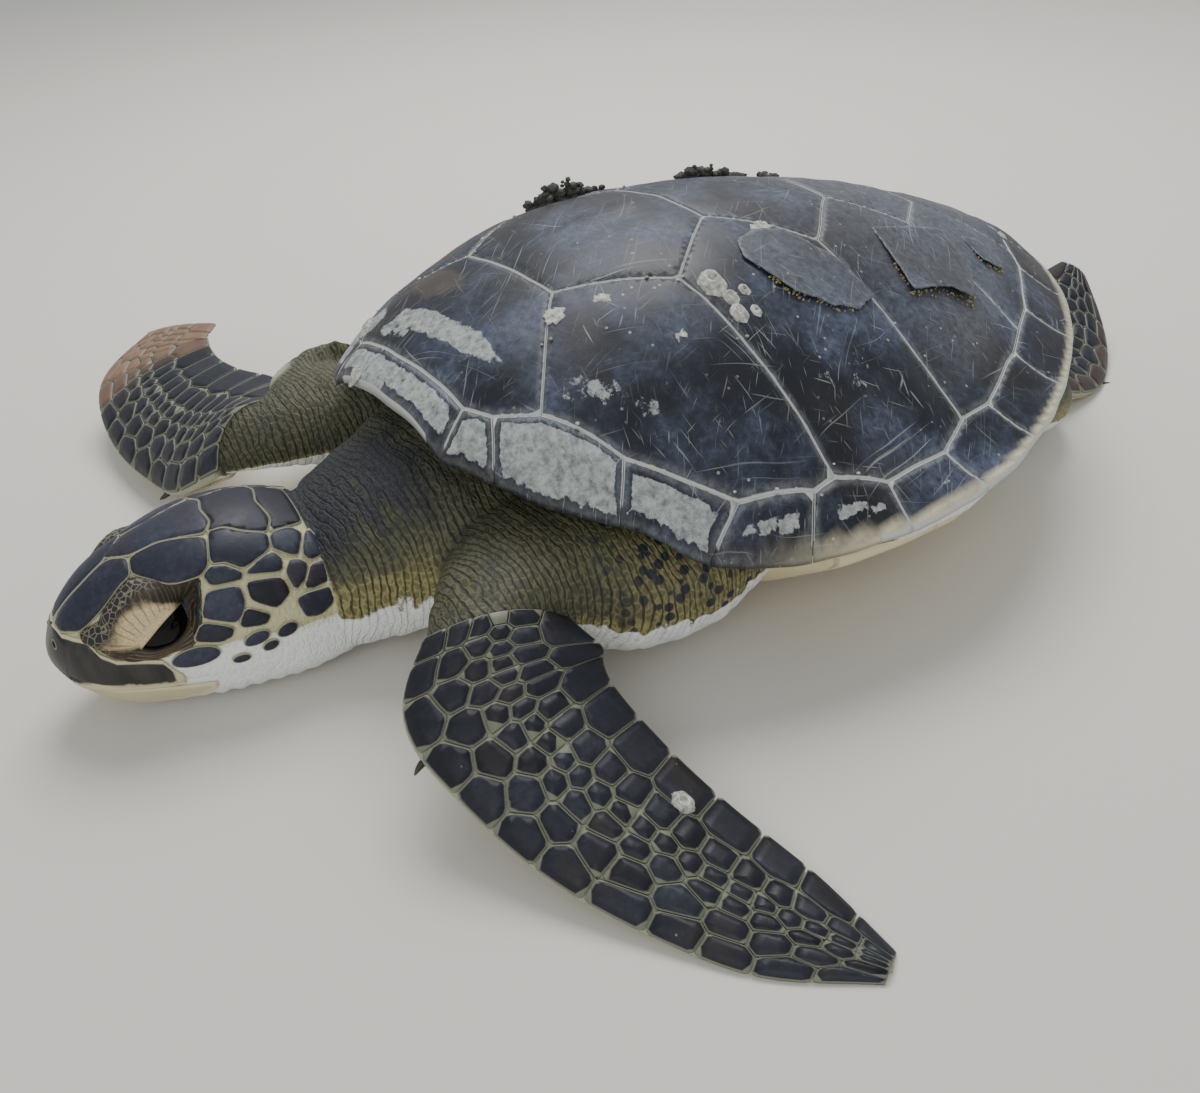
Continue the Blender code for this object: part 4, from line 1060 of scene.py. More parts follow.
def shade_of(point, normal):
    """How pale the skin is: 0 on the back, a third olive, two thirds khaki, 1 underneath."""
    arm = ramp(abs(point.x + 0.004), 0.046, 0.016)
    neck = clamp((0.92 - normal.z) / 1.25)
    shoulder = ramp(point.y, -0.178, 0.04)
    neck = mix(neck, max(neck, 0.4), shoulder)
    upper = mix(0.3, 0.56, ramp(point.y, -0.165, 0.06))
    limb = mix(upper, 1.0, smooth_step((0.02 - normal.z) / 0.35))
    rear = ramp(point.y, 0.05, 0.04)
    return mix(mix(neck, limb, arm), clamp((0.75 - normal.z) / 1.3), rear)


def skin_values(point, normal, of_trunk):
    """What the skin's layers say at a point: shade, head, blade, crease and spots."""
    p = point - MIDDLE
    share = (p - HEAD_BACK).dot(AHEAD) / HEAD_LENGTH
    aside = (p - HEAD_BACK).dot(ASIDE)
    angle = abs(degrees(atan2(aside, p.z - head_section(clamp(round(share, 3)))[0])))
    near = fall(abs(aside), 0.041, 0.003)
    on_head = ramp(share, 0.026, 0.01) * near
    by_eye = fall(in_orbit(share, angle), 0.98, 0.05) * near
    scaled = on_head * fall(angle, 78.0, 8.0) * (1.0 - by_eye)
    shade = shade_of(p, normal)
    throat = mix(shade, 0.7 + 0.35 * ramp(angle, 80.0, 14.0), ramp(angle, 60.0, 14.0))
    shade = mix(shade, throat, ramp(share, -0.16, 0.14) * near)
    shade = mix(shade, 0.6 + 0.45 * ramp(angle, 74.0, 16.0), on_head)
    shade = mix(shade, 0.1, by_eye)
    flank = ramp(p.y, -0.052, 0.012)
    if of_trunk:
        shade = mix(mix(1.0, 0.42, ramp(p.z, 0.022, 0.01)), 0.95, flank)
    blade = blade_share(p)
    crease = (1.0 - on_head) * (1.0 - blade) * fall(p.y, -0.09, 0.03)
    spots = ramp(p.y, -0.15, 0.03) * ramp(abs(p.x + 0.004), 0.03, 0.015)
    return shade, scaled, blade, crease, spots * (1.0 - 0.85 * flank)


def skin_piece(skin):
    depth = skin.depth
    bm = neck_and_arms(skin)
    join_into(bm, grown((120, 112, lambda a, b: head_ring(a, b, -depth)),
                        *((60, 40, partial(blade_place, limb, depth)) for limb in LIMBS),
                        *((36, 48, partial(root_place, limb, depth)) for limb in LIMBS[2:]),
                        (40, 32, lambda a, b: under_rim(tail_point(a, b, -depth)))))
    for vert in bm.verts:
        vert.co = settle(vert.co)
    flesh = len(bm.verts)
    trunk = bmesh.new()
    trunk.from_mesh(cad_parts["trunk"].data)
    bmesh.ops.remove_doubles(trunk, verts=trunk.verts, dist=1e-5)
    join_into(bm, trunk)
    nodes = [node for limb in LIMBS for node in (limb.upper, limb.lower)]
    mesh = add_piece("skin", bm, skin_material(skin), "skin", "trunk", "neck", "head", "tail", *nodes)
    rows = [skin_values(vert.co, vert.normal, vert.index >= flesh) for vert in mesh.vertices]
    for key, values in zip(SKIN_LAYERS, zip(*rows)):
        set_values(mesh, key, values)


@lru_cache(maxsize=None)
def limb_length(limb):
    points = [through(limb.axis, k / 20) for k in range(21)]
    return sum((b - a).length for a, b in zip(points, points[1:]))


def blade_share(point):
    """1 on the scaled part of a limb, 0 on the soft skin of the body."""
    found = 0.0
    for limb in LIMBS:
        start = limb.axis[0]
        ahead = limb.frame(0.0)[0]
        along = (point - start).dot(ahead)
        if (point - start).length < 0.2 and along > 0.0:
            way = limb.frame(clamp(along / limb_length(limb)))
            above = abs((point - way[3]).dot(way[2])) if along < 0.02 else 0.0
            across = abs((point - way[3]).dot(way[1]))
            on_blade = fall(above - 0.7 * way[5], 0.002, 0.004)
            on_blade *= fall(across - 0.6 * way[4], 0.002, 0.005)
            found = max(found, ramp(along, 0.002, 0.008) * on_blade)
    return found


SKIN_LAYERS = ("shade", "head", "blade", "crease", "spots")
# Painted shade: the near-black laid into the creases of the neck and the arms
NECK_CREASE_SHADE = "#15161a"
# The shades at which each tone of the skin sets in.
SKIN_STEPS = ((0.04, 0.4, "olive"), (0.38, 0.7, "khaki"), (0.8, 0.86, "under"))


def skin_material(skin):
    """Reptile skin: dry, leathery and matt, darkest on the back, in fine folds and polygons."""
    made, shader, add, spot, shade, head, blade, crease, spotted = start_material(
        "turtle_skin", 0.62, 1.45, *SKIN_LAYERS)
    cloud = add("TexNoise", {"Scale": 60.0, "Detail": 7.0, "Roughness": 0.7})
    shift = add("MapRange", (cloud, 0.25, 0.75, -0.14, 0.14))
    level = add("Math", (shade, shift), **PLUS)
    color = skin.back
    for low, high, tone in SKIN_STEPS:
        share = add("MapRange", (level, low, high), **SOFT)
        color = add("Mix", {0: share, 6: color, 7: getattr(skin, tone)}, **TINT)
    lit = add("MapRange", (level, 0.8, 0.86, 1.0, 0.14))
    # polygons of the skin, two to three millimetres across, dark inside and paler in their grooves
    squeezed = add("Mapping", {"Vector": spot, "Scale": (1.0, 1.6, 1.0)})
    cells = add("TexVoronoi", {"Vector": squeezed, "Scale": 300.0}, feature="DISTANCE_TO_EDGE")
    inner = add("MapRange", (cells, 0.02, 0.22), **SOFT)
    dark = add("Math", (inner, lit), **TIMES)
    dim = add("MapRange", (dark, 0.0, 1.0, 1.1, 0.62))
    color = add("Mix", {0: 1.0, 6: color, 7: dim}, blend_type="MULTIPLY", **TINT)
    # round dark spots where the neck meets the shoulders
    dots = add("TexVoronoi", {"Scale": 210.0, "Randomness": 0.9})
    dots = add("MapRange", (dots, 0.42, 0.31), **SOFT)
    dots = add("Math", (dots, spotted), **TIMES)
    dots = add("Math", (dots, lit), **TIMES)
    # thin creases across the neck and the arms, two millimetres apart, bent by slow noise: grooves in the relief,
    # darkened with painted shade
    bend = add("TexNoise", {"Scale": 28.0, "Detail": 3.0, "Roughness": 0.55})
    phase = add("Math", {0: add("SeparateXYZ", {0: spot}).outputs["Y"], 1: 2600.0}, **TIMES)
    waver = add("Math", (bend, 34.0), **TIMES)
    phase = add("Math", (phase, waver), **PLUS)
    line = add("Math", (phase,), operation="SINE")
    line = add("MapRange", (line, 0.55, 0.98), **SOFT)
    faint = add("MapRange", (cloud, 0.35, 0.6, 0.35, 1.0))
    for share in (crease, faint):
        line = add("Math", (line, share), **TIMES)
    # the creases' dark colour is painted shade, weaker on the pale underside
    seen = line
    for share in (lit, 0.85):
        seen = add("Math", (seen, share), **TIMES)
    for share, tone in ((dots, skin.back), (seen, NECK_CREASE_SHADE), (head, skin.head_seam), (blade, skin.between)):
        color = add("Mix", {0: share, 6: color, 7: tone}, **TINT)
    fine = add("TexNoise", {"Scale": 900.0, "Detail": 3.0})
    height = add("Math", (inner, fine), **PLUS)
    height = add("Math", (height, 0.4), **TIMES)
    height = add("Math", (height, line), operation="SUBTRACT")
    relief = add("Bump", {"Height": height, "Strength": 0.8, "Distance": 0.0006})
    plug(shader, {"Base Color": color, "Subsurface Weight": 0.06, "Subsurface Radius": (0.002, 0.0012, 0.0008),
                  "Normal": relief})
    return made


class TURTLE_OT_skin(bpy.types.Operator):
    """Build the skin"""
    bl_idname = "turtle.skin"
    bl_label = "Skin"

    def execute(self, context):
        skin_piece(context.scene.turtle_skin)
        return {"FINISHED"}


# ------------ scales
BAKE_PATCH = 0.003          # width of a scale's own patch on the bake map
BAKE_TILE = (0.49, 0.24)    # size of one part's tile on that map
BAKE_TILES = {"head": (0.0, 0.5), "flipper_left": (0.0, 0.0), "flipper_right": (0.5, 0.0),
              "foot_left": (0.0, 0.75), "foot_right": (0.5, 0.75)}
SCALE_FOOT = 0.0008         # how deep a scale reaches into the skin


class Chart:
    """A flat map of one part: place(x, y, rise) is the body's point over (x, y), and the second function the share of
    tan there: painted warm light on the far flipper, the feet's own tan edges.
    """

    def __init__(self, part, low, high, place, sun):
        self.part, self.low, self.high, self.place, self.sun = part, Vector(low), Vector(high), place, sun

    def bake_spot(self, middle):
        """The spot's place on the bake map."""
        return [BAKE_TILES[self.part][k] + BAKE_TILE[k] * clamp((middle[k] - self.low[k]) / (self.high - self.low)[k])
                for k in (0, 1)]


def flat_scale(outline, height, cell, rings, dome):
    """One scale over the outline, drawn flat, its rise kept in z, rounded over the width dome at its edge."""
    one, over, edge = flat_plate(outline, cell, rings)
    dome = min(dome, 0.6 * max(v[edge] for v in one.verts))
    for vert in one.verts:
        if vert[over] > 0.5:
            inside = clamp(vert[edge] / max(dome, 1e-6))
            vert.co.z = height * (0.25 + 0.75 * sqrt(max(0.0, 1.0 - (1.0 - inside) ** 2)))
        else:
            vert.co.z = -SCALE_FOOT
    return one


def lay_scales(chart, outlines, height, cell, rings, dome):
    """All scales of a chart as one mesh, with the attributes edge and tone and the map OFBake."""
    bm = bmesh.new()
    tone, sun = layers(bm, "over", "edge", "tone", "sun")[2:]
    bake = bm.loops.layers.uv.new("OFBake")
    done = 0
    for outline in outlines:
        join_into(bm, flat_scale(outline, height, cell, rings, dome))
        bm.verts.ensure_lookup_table()
        middle = sum(outline, Vector((0.0, 0.0))) / len(outline)
        reach = max((p - middle).length for p in outline)
        root = Vector(chart.bake_spot(middle))
        own = noise.noise(Vector((middle.x * 900.0, middle.y * 900.0, 1.0)))
        for vert in bm.verts[done:]:
            vert[tone] = own
            vert[sun] = chart.sun(middle.x, middle.y)
            for loop in vert.link_loops:
                loop[bake].uv = root + (vert.co.xy - middle) * (BAKE_PATCH / (2.0 * reach))
        done = len(bm.verts)
    for vert in bm.verts:
        vert.co = settle(chart.place(*vert.co))
    return bm


HEAD_WRAP = 0.05            # how far the head's flat map reaches to each side
# Head scales of one side: corners as share of the head's length and degrees from its top.
HEAD_SCALES = (
    ((0.945, 5), (0.82, 8), (0.71, 3), (0.637, 12), (0.65, 24), (0.7, 27), (0.775, 34), (0.84, 39), (0.875, 41),
     (0.932, 32)),
    ((0.37, 21), (0.4, 37), (0.44, 41), (0.52, 40), (0.56, 37.5), (0.65, 24), (0.637, 12), (0.53, 12), (0.45, 16)),
    ((0.36, 18), (0.31, 18), (0.25, 24), (0.17, 28), (0.183, 38), (0.297, 45), (0.35, 38.5), (0.4, 37), (0.37, 21)),
    ((0.4, 37), (0.35, 39), (0.3, 45.5), (0.315, 50), (0.42, 48), (0.44, 41)),
    ((0.43, 48.5), (0.325, 51), (0.325, 60), (0.345, 66), (0.38, 71), (0.49, 62), (0.45, 50)),
    ((0.183, 38), (0.155, 44.5), (0.175, 51.5), (0.3, 48), (0.297, 45)),
    ((0.17, 28), (0.085, 25), (0.05, 31), (0.095, 44), (0.12, 44.5), (0.183, 38)),
    ((0.14, 45), (0.1, 46), (0.075, 50), (0.105, 58), (0.16, 63), (0.172, 51.5)),
    ((0.31, 50), (0.18, 52.5), (0.168, 62), (0.235, 69), (0.315, 61)),
    ((0.335, 62.5), (0.255, 70), (0.285, 76), (0.365, 74.5), (0.378, 71)),
    ((0.49, 63), (0.385, 72), (0.405, 78), (0.45, 80), (0.54, 75)),
    ((0.05, 31), (0.02, 27), (0.005, 36), (0.01, 47), (0.07, 49), (0.09, 44)),
    ((0.075, 50), (0.012, 49), (0.015, 62), (0.1, 64), (0.135, 62), (0.1, 56)),
    ((0.17, 66), (0.13, 64), (0.015, 64), (0.03, 74), (0.09, 79), (0.15, 78)),
    ((0.6, 32), (0.565, 37), (0.59, 38.5), (0.625, 34)),
    ((0.635, 27), (0.605, 31), (0.63, 33.5), (0.66, 29)),
    ((0.62, 35.5), (0.595, 39), (0.62, 41), (0.65, 37)),
    ((0.67, 28.5), (0.64, 33), (0.665, 36), (0.7, 31)),
    ((0.71, 31), (0.68, 35.5), (0.71, 38.5), (0.745, 34)),
)
# Dark scales that stand apart on the pale cheek: middle, half-length and half-width in metres, turn.
CHEEK_SCALES = (
    (0.541, 86.1, 0.0083, 0.0041, -0.33),
    (0.33, 82.4, 0.0046, 0.0027, 0.17),
    (0.222, 81.2, 0.004, 0.0025, 0.4),
    (0.291, 89.0, 0.003, 0.0021, 0.4),
    (0.398, 94.0, 0.0032, 0.0019, -0.22),
)
# Scales across the middle of the crown, one side's corners; the other side mirrors them.
CROWN_SCALES = (
    ((0.712, 0), (0.705, 3), (0.637, 12), (0.53, 12.5), (0.45, 16), (0.375, 19), (0.34, 12), (0.355, 0)),
    ((0.355, 0), (0.34, 12), (0.375, 19), (0.31, 18), (0.25, 24), (0.17, 28), (0.14, 18), (0.15, 8), (0.16, 0)),
    ((0.16, 0), (0.15, 8), (0.14, 18), (0.17, 28), (0.085, 25), (0.03, 22), (0.03, 0)),
)


def head_radius(share):
    """Mean radius of the head there: turns degrees into lengths on the flat map."""
    level, above, below, half = head_section(round(clamp(share), 5))
    return 0.5 * (above + half)


def head_flat(share, angle):
    return Vector((share * HEAD_LENGTH, radians(angle) * head_radius(share)))


def head_from_flat(x, y, rise):
    share = x / HEAD_LENGTH
    return head_point(share, degrees(y / head_radius(share)), rise)


def fine_outline(corners):
    """Corners on the head as an outline on its flat map, its sides following the head."""
    flat = []
    for (a, turn_a), (b, turn_b) in zip(corners, corners[1:] + corners[:1]):
        for k in range(4):
            flat.append(head_flat(mix(a, b, k / 4), mix(turn_a, turn_b, k / 4)))
    return flat


def oval(share, angle, long_half, wide_half, turn):
    middle = head_flat(share, angle)
    points = []
    for k in range(20):
        x, y = long_half * cos(pi * k / 10), wide_half * sin(pi * k / 10)
        points.append(middle + Vector((x * cos(turn) - y * sin(turn), x * sin(turn) + y * cos(turn))))
    return points


def softened(points, rounds=2):
    """The outline with its corners eased."""
    for _ in range(rounds):
        count = len(points)
        points = [(points[k - 1] + points[k] * 2.0 + points[(k + 1) % count]) / 4.0 for k in range(count)]
    return points


def head_outlines(seam):
    outlines = []
    for _, side in SIDES:
        for corners in HEAD_SCALES:
            turned = [(a, b if abs(b) < 10 and a > 0.7 else side * b) for a, b in corners]
            wide = seam * (0.6 if min(b for a, b in corners) > 35 else 0.35)
            outlines.append(drawn_in(softened(fine_outline(turned), 1), wide / 2))
        for a, b, long_half, wide_half, turn in CHEEK_SCALES:
            outlines.append(oval(a, side * b, long_half, wide_half, side * turn))
    for corners in CROWN_SCALES:
        other = [(a, -b) for a, b in corners[::-1] if b > 0]
        outlines.append(drawn_in(softened(fine_outline(list(corners) + other), 1), seam * 0.17))
    return outlines


def cells_of(seeds, low, high, reach):
    """The Voronoi cell of each seed, cut to a box: a polygon of the points nearest to it."""
    cells = []
    for seed in seeds:
        cell = [Vector((low.x, low.y)), Vector((high.x, low.y)), Vector((high.x, high.y)), Vector((low.x, high.y))]
        for other in seeds:
            away = other - seed
            if away.length < 1e-9 or away.length > reach:
                continue
            middle = (seed + other) / 2.0
            cut = []
            for a, b in zip(cell, cell[1:] + cell[:1]):
                side_a, side_b = (a - middle).dot(away), (b - middle).dot(away)
                if side_a <= 0.0:
                    cut.append(a)
                if side_a * side_b < 0.0:
                    cut.append(a.lerp(b, side_a / (side_a - side_b)))
            cell = cut
        if len(cell) > 2:
            cells.append(cell)
    return cells


CHORD = 0.055               # width of a limb's flat map
# Rows of scales across a front flipper: place from its leading edge, number along it.
FLIPPER_ROWS = ((0.09, 12), (0.26, 14), (0.39, 18), (0.5, 23), (0.62, 18), (0.86, 10))
FOOT_ROWS = ((0.09, 7), (0.26, 9), (0.4, 11), (0.52, 13), (0.65, 11), (0.88, 7))
UNDER_ROWS = ((0.1, 11), (0.28, 13), (0.45, 15), (0.62, 14), (0.84, 12))


def row_seeds(rows, length, seed):
    """Seeds in rows, each a little out of line."""
    chance = Random(seed)
    seeds = []
    for number, (place, count) in enumerate(rows):
        step = length / count
        shift = chance.uniform(0.2, 0.8)
        for k in range(count):
            x = (k + shift) * step + chance.uniform(-0.13, 0.13) * step
            y = place * CHORD + chance.uniform(-0.08, 0.08) * min(step, 0.006)
            seeds.append(Vector((clamp(x, 0.001, length - 0.001), y)))
    return seeds


def limb_outlines(rows, length, seam, seed, ends):
    low, high = Vector((0.0, ends[0] * CHORD)), Vector((length * 0.998, ends[1] * CHORD))
    outlines = []
    for cell in cells_of(row_seeds(rows, length, seed), low, high, 0.05):
        spans = [(b - a).length for a, b in zip(cell, cell[1:] + cell[:1])]
        cell = [p for p, span in zip(cell, spans) if span > 0.0006]
        if len(cell) < 3:
            continue
        outlines.append(drawn_in(rounded(cell, 0.09), seam / 2))
    return outlines


def limb_chart(limb, word, length, side):
    # tan over the outer part of the far (right) flipper is painted warm light; the tan on the edges of the feet is
    # their own colour
    def sun(x, y):
        if word == "flipper_right":
            return ramp(x / length, 0.6, 0.15)
        return 0.3 * ramp(abs(y / CHORD - 0.5), 0.34, 0.12) if word.startswith("foot") else 0.0

    return Chart(word, (0.0, 0.0), (length, CHORD),
                 lambda x, y, rise: limb.surface(x / length, side * y / CHORD, rise), sun)


SCALE_RUST = "#33251f"
UNDER_EDGE = "#8a7a58"
SCALE_SPECK = "#b9b9b0"


def scale_material(name, dark, haze, border, tan_and_warm_light_tone, amount, spread):
    """Scales of keratin over living skin: satin, near black with a thin paler edge, each a little different."""
    made, shader, add, _, edge, tone, sun = start_material(name, 0.45, 1.5, "edge", "tone", "sun")
    cloud = add("TexNoise", {"Scale": 75.0, "Detail": 7.0, "Roughness": 0.7})
    fine = add("TexNoise", {"Scale": 480.0, "Detail": 4.0, "Roughness": 0.7})
    lift = add("MapRange", (tone, -0.5, 0.5, 0.0, spread))
    mottle = add("MapRange", (cloud, 0.5, 0.78, 0.0, 0.3), **SOFT)
    hazy = add("Math", (lift, mottle), **PLUS)
    grain = add("MapRange", (fine, 0.3, 0.7, 0.4, 1.2))
    hazy = add("Math", (hazy, grain), **TIMES)
    slow = add("TexNoise", {"Scale": 42.0, "Detail": 5.0, "W": 2.0}, noise_dimensions="4D")
    rust = add("MapRange", (slow, 0.52, 0.72, 0.0, 0.6), **SOFT)
    # tan mixed in by that layer: painted warm light on the far flipper, the feet's own tan edges
    tan_and_warm_light_share = add("MapRange", (cloud, 0.3, 0.65, 0.55, 1.0))
    tan_and_warm_light_share = add("Math", (tan_and_warm_light_share, sun), **TIMES)
    fade = add("MapRange", (edge, 0.0005, 0.0, 0.0, amount), **SOFT)
    speck = add("TexVoronoi", {"Scale": 300.0})
    speck = add("MapRange", (speck, 0.13, 0.08, 0.0, 0.5))
    some = add("MapRange", (cloud, 0.6, 0.66))
    speck = add("Math", (speck, some), **TIMES)
    color = dark
    for share, layer in ((hazy, haze), (rust, SCALE_RUST), (tan_and_warm_light_share, tan_and_warm_light_tone), (fade, border), (speck, SCALE_SPECK)):
        color = add("Mix", {0: share, 6: color, 7: layer}, **TINT)
    rough = add("MapRange", (cloud, 0.3, 0.7, 0.4, 0.62))
    relief = add("Bump", {"Height": fine, "Strength": 0.35, "Distance": 0.0002})
    plug(shader, {"Base Color": color, "Roughness": rough, "Specular IOR Level": 0.35, "Normal": relief})
    return made


class TURTLE_OT_head_scales(bpy.types.Operator):
    """Build the scales of the head"""
    bl_idname = "turtle.head_scales"
    bl_label = "Head scales"

    def execute(self, context):
        scales = context.scene.turtle_scales
        chart = Chart("head", (0.0, -HEAD_WRAP), (HEAD_LENGTH, HEAD_WRAP), head_from_flat, lambda x, y: 0.0)
        rings = (0.0002, 0.0003, 0.0004, 0.0009)
        bm = lay_scales(chart, head_outlines(scales.seam), scales.height * 0.8, 0.0022, rings, 0.0004)
        made = scale_material("head_scale_horn", scales.head, scales.head_rim, scales.head_edge, scales.tan,
                              0.85, 0.36)
        add_piece("head_scales", bm, made, "head_scales")
        return {"FINISHED"}


class TURTLE_OT_limb_scales(bpy.types.Operator):
    """Build the scales of the flippers and the hind feet"""
    bl_idname = "turtle.limb_scales"
    bl_label = "Limb scales"

    def execute(self, context):
        scales = context.scene.turtle_scales
        dark = scale_material("limb_scale_horn", scales.limb, scales.limb_rim, scales.limb_edge, scales.tan,
                              0.8, 0.25)
        pale = scale_material("under_scale_horn", scales.under, UNDER_EDGE, UNDER_EDGE, scales.under, 0.35, 0.25)
        rings = (0.0002, 0.0004, 0.0009)
        for number, limb in enumerate(LIMBS):
            length = limb_length(limb)
            front = number < 2
            rows = FLIPPER_ROWS if front else FOOT_ROWS
            for word, side, plan, material, ends in (("top", 1.0, rows, dark, (0.012, 1.03)),
                                                     ("under", -1.0, UNDER_ROWS, pale, (0.03, 0.96))):
                outlines = limb_outlines(plan, length, scales.seam, number * 7 + (side > 0), ends)
                chart = limb_chart(limb, limb.lower, length, side)
                bm = lay_scales(chart, outlines, scales.height, 0.0034, rings, 0.0008)
                add_piece(f"scales_{limb.lower}_{word}", bm, material, "flipper_scales")
        return {"FINISHED"}


# ------------ eyes, lids, beak and claws
SLIT = (0.606, 57.5, 0.0114, 0.0045)     # middle of the eye's opening, its half-length and half-width
SLIT_LOW = (0.7, 62.0)                 # its front, lower corner; the other lies opposite
# Outline of the eye's hollow, from its front round the top to the back and under the eye.
ORBIT_LINE = ((0.875, 41), (0.8, 40), (0.775, 34), (0.74, 31), (0.7, 27), (0.66, 25), (0.6, 31), (0.56, 37.5),
              (0.52, 40), (0.445, 41.5), (0.455, 46), (0.475, 56), (0.5, 68), (0.535, 77), (0.6, 79), (0.65, 81),
              (0.72, 78.5), (0.785, 72), (0.81, 67), (0.832, 58), (0.852, 49))


@lru_cache(maxsize=None)
def eye_center(side):
    """The middle of the eyeball: a little deeper than its solid."""
    plain = HEAD_BACK.lerp(HEAD_TIP, EYE_SHARE) + ASIDE * (side * EYE_OUT) + UP * EYE_HEIGHT
    return plain - (head_point(SLIT[0], side * SLIT[1]) - plain).normalized() * EYE_SUNK


def slit_directions(side):
    """From the eye's middle: out through the opening, along it and across it."""
    center = eye_center(side)
    out = (head_point(SLIT[0], side * SLIT[1]) - center).normalized()
    along = head_point(SLIT_LOW[0], side * SLIT_LOW[1]) - head_point(SLIT[0], side * SLIT[1])
    along = (along - out * along.dot(out)).normalized()
    return out, along, out.cross(along) * side


def eyeball(side):
    bm = bmesh.new()
    bmesh.ops.create_uvsphere(bm, u_segments=64, v_segments=40, radius=EYE_RADIUS)
    out = slit_directions(side)[0]
    for vert in bm.verts:
        cap = ramp(vert.co.normalized().dot(out), 0.8, 0.2)
        vert.co = eye_center(side) + vert.co * (1.0 + 0.05 * cap) + MIDDLE
    return bm


@lru_cache(maxsize=None)
def orbit_table():
    """The hollow's outline as (direction, reach) round its middle on the head's flat map."""
    middle = head_flat(*ORBIT)
    arms = [head_flat(a, b) - middle for a, b in ORBIT_LINE]
    rows = sorted((atan2(arm.y, arm.x), arm.length) for arm in arms)
    first, last = rows[0], rows[-1]
    return [(last[0] - 2 * pi, last[1]), *rows, (first[0] + 2 * pi, first[1])]


def orbit_edge(side, turn):
    """The point of the hollow's outline in the direction of a turn round the opening."""
    tilt = head_flat(*SLIT_LOW) - head_flat(SLIT[0], SLIT[1])
    way = (turn * 2.0 * pi + atan2(tilt.y, tilt.x) + pi) % (2.0 * pi) - pi
    reach = stops(orbit_table(), way)
    spot = head_flat(*ORBIT) + Vector((cos(way), sin(way))) * reach * 0.995
    share = spot.x / HEAD_LENGTH
    return head_point(share, side * degrees(spot.y / head_radius(share)), 0.0)


def lid_edge(side, turn):
    """The direction from the eye's middle to the edge of the opening, at a turn from its front corner."""
    out, along, across = slit_directions(side)
    a = 2.0 * pi * turn
    x = SLIT[2] * cos(a) / EYE_RADIUS
    y = SLIT[3] * sin(a) * (1.0 - 0.3 * cos(a) ** 2) / EYE_RADIUS
    size = sqrt(x * x + y * y)
    return (out * cos(size) + (along * x + across * y) * (sin(size) / size)).normalized()


class TURTLE_OT_eyes(bpy.types.Operator):
    """Build the eyes"""
    bl_idname = "turtle.eyes"
    bl_label = "Eyes"

    def execute(self, context):
        face = context.scene.turtle_face
        # a wet cornea over a nearly black eye: clear, sharp highlights
        made, shader, *_ = start_material("eye_cornea", 0.12, 1.34)
        plug(shader, {"Base Color": face.eye, "Specular IOR Level": 0.4})
        for word, side in SIDES:
            add_piece(f"eyeball_{word}", eyeball(side), made, "eye", f"eye_{word}")
        return {"FINISHED"}


BEAK_LINE = ((0.6, 100.0), (0.624, 94.0), (0.65, 84.0), (0.72, 80.0), (0.792, 76.0), (0.836, 66.0), (0.859, 50.0),
             (0.9, 42.0), (0.93, 33.0), (0.945, 12.0), (0.952, 0.0), (1.0, 0.0))


def mouth_angle(share):
    """Degrees from the top at which the mouth line lies."""
    height = mix(MOUTH_HEIGHT, MOUTH_TIP_HEIGHT, clamp((share - MOUTH_BACK) / (1.0 - MOUTH_BACK)))
    return last_true(80.0, 180.0, 24, lambda angle: head_point(share, angle).z > height)


LOWER_BEAK_BACK = 0.5
HORN_THICK = 0.0012


def lower_beak_angles(share):
    """The lower beak lies under the mouth line and narrows to nothing at its back."""
    width = 34.0 * sqrt(clamp((share - LOWER_BEAK_BACK + 0.004) / (1.0 - LOWER_BEAK_BACK)))
    first = min(179.5, mouth_angle(share) + 1.5)
    return first, min(180.0, mix(first + width, 180.0, ramp(share, 0.74, 0.12)))


def lower_beak_front():
    """The share at which the mouth line crosses the middle of the snout."""
    return last_true(0.85, 1.0, 20, lambda share: mouth_angle(share) < 178.0)


def horn_sheet(rows, columns, angles, start, end, rise):
    """A sheet of horn over both sides of the head between two lines, thickened inwards."""
    bm = bmesh.new()
    layers(bm, "line", "cut")
    front = lower_beak_front()
    for _, side in SIDES:
        half = bmesh.new()
        bmesh.ops.create_grid(half, x_segments=rows, y_segments=columns, size=1.0)
        line, cut = layers(half, "line", "cut")
        for vert in half.verts:
            a, b = (vert.co.x + 1.0) / 2.0, (vert.co.y + 1.0) / 2.0
            share = mix(start, end, a ** 0.8)
            first, last = angles(share)
            width = radians(last - first) * head_radius(share)
            vert[line] = min(b * width, a * HEAD_LENGTH * (end - start)) if first > 0.5 else 0.02
            away = max(0.0, share - front) * HEAD_LENGTH * 2.0
            closed = last > 179.0 and away == 0.0
            vert[cut] = 0.02 if closed else sqrt(((1.0 - b) * width) ** 2 + away ** 2)
            vert.co = settle(head_point(share, side * mix(first, last, b), rise(share, b)))
        join_into(bm, half)
    bmesh.ops.remove_doubles(bm, verts=bm.verts, dist=4e-5)
    bmesh.ops.recalc_face_normals(bm, faces=bm.faces)
    bmesh.ops.solidify(bm, geom=bm.verts[:] + bm.edges[:] + bm.faces[:], thickness=HORN_THICK)
    return bm


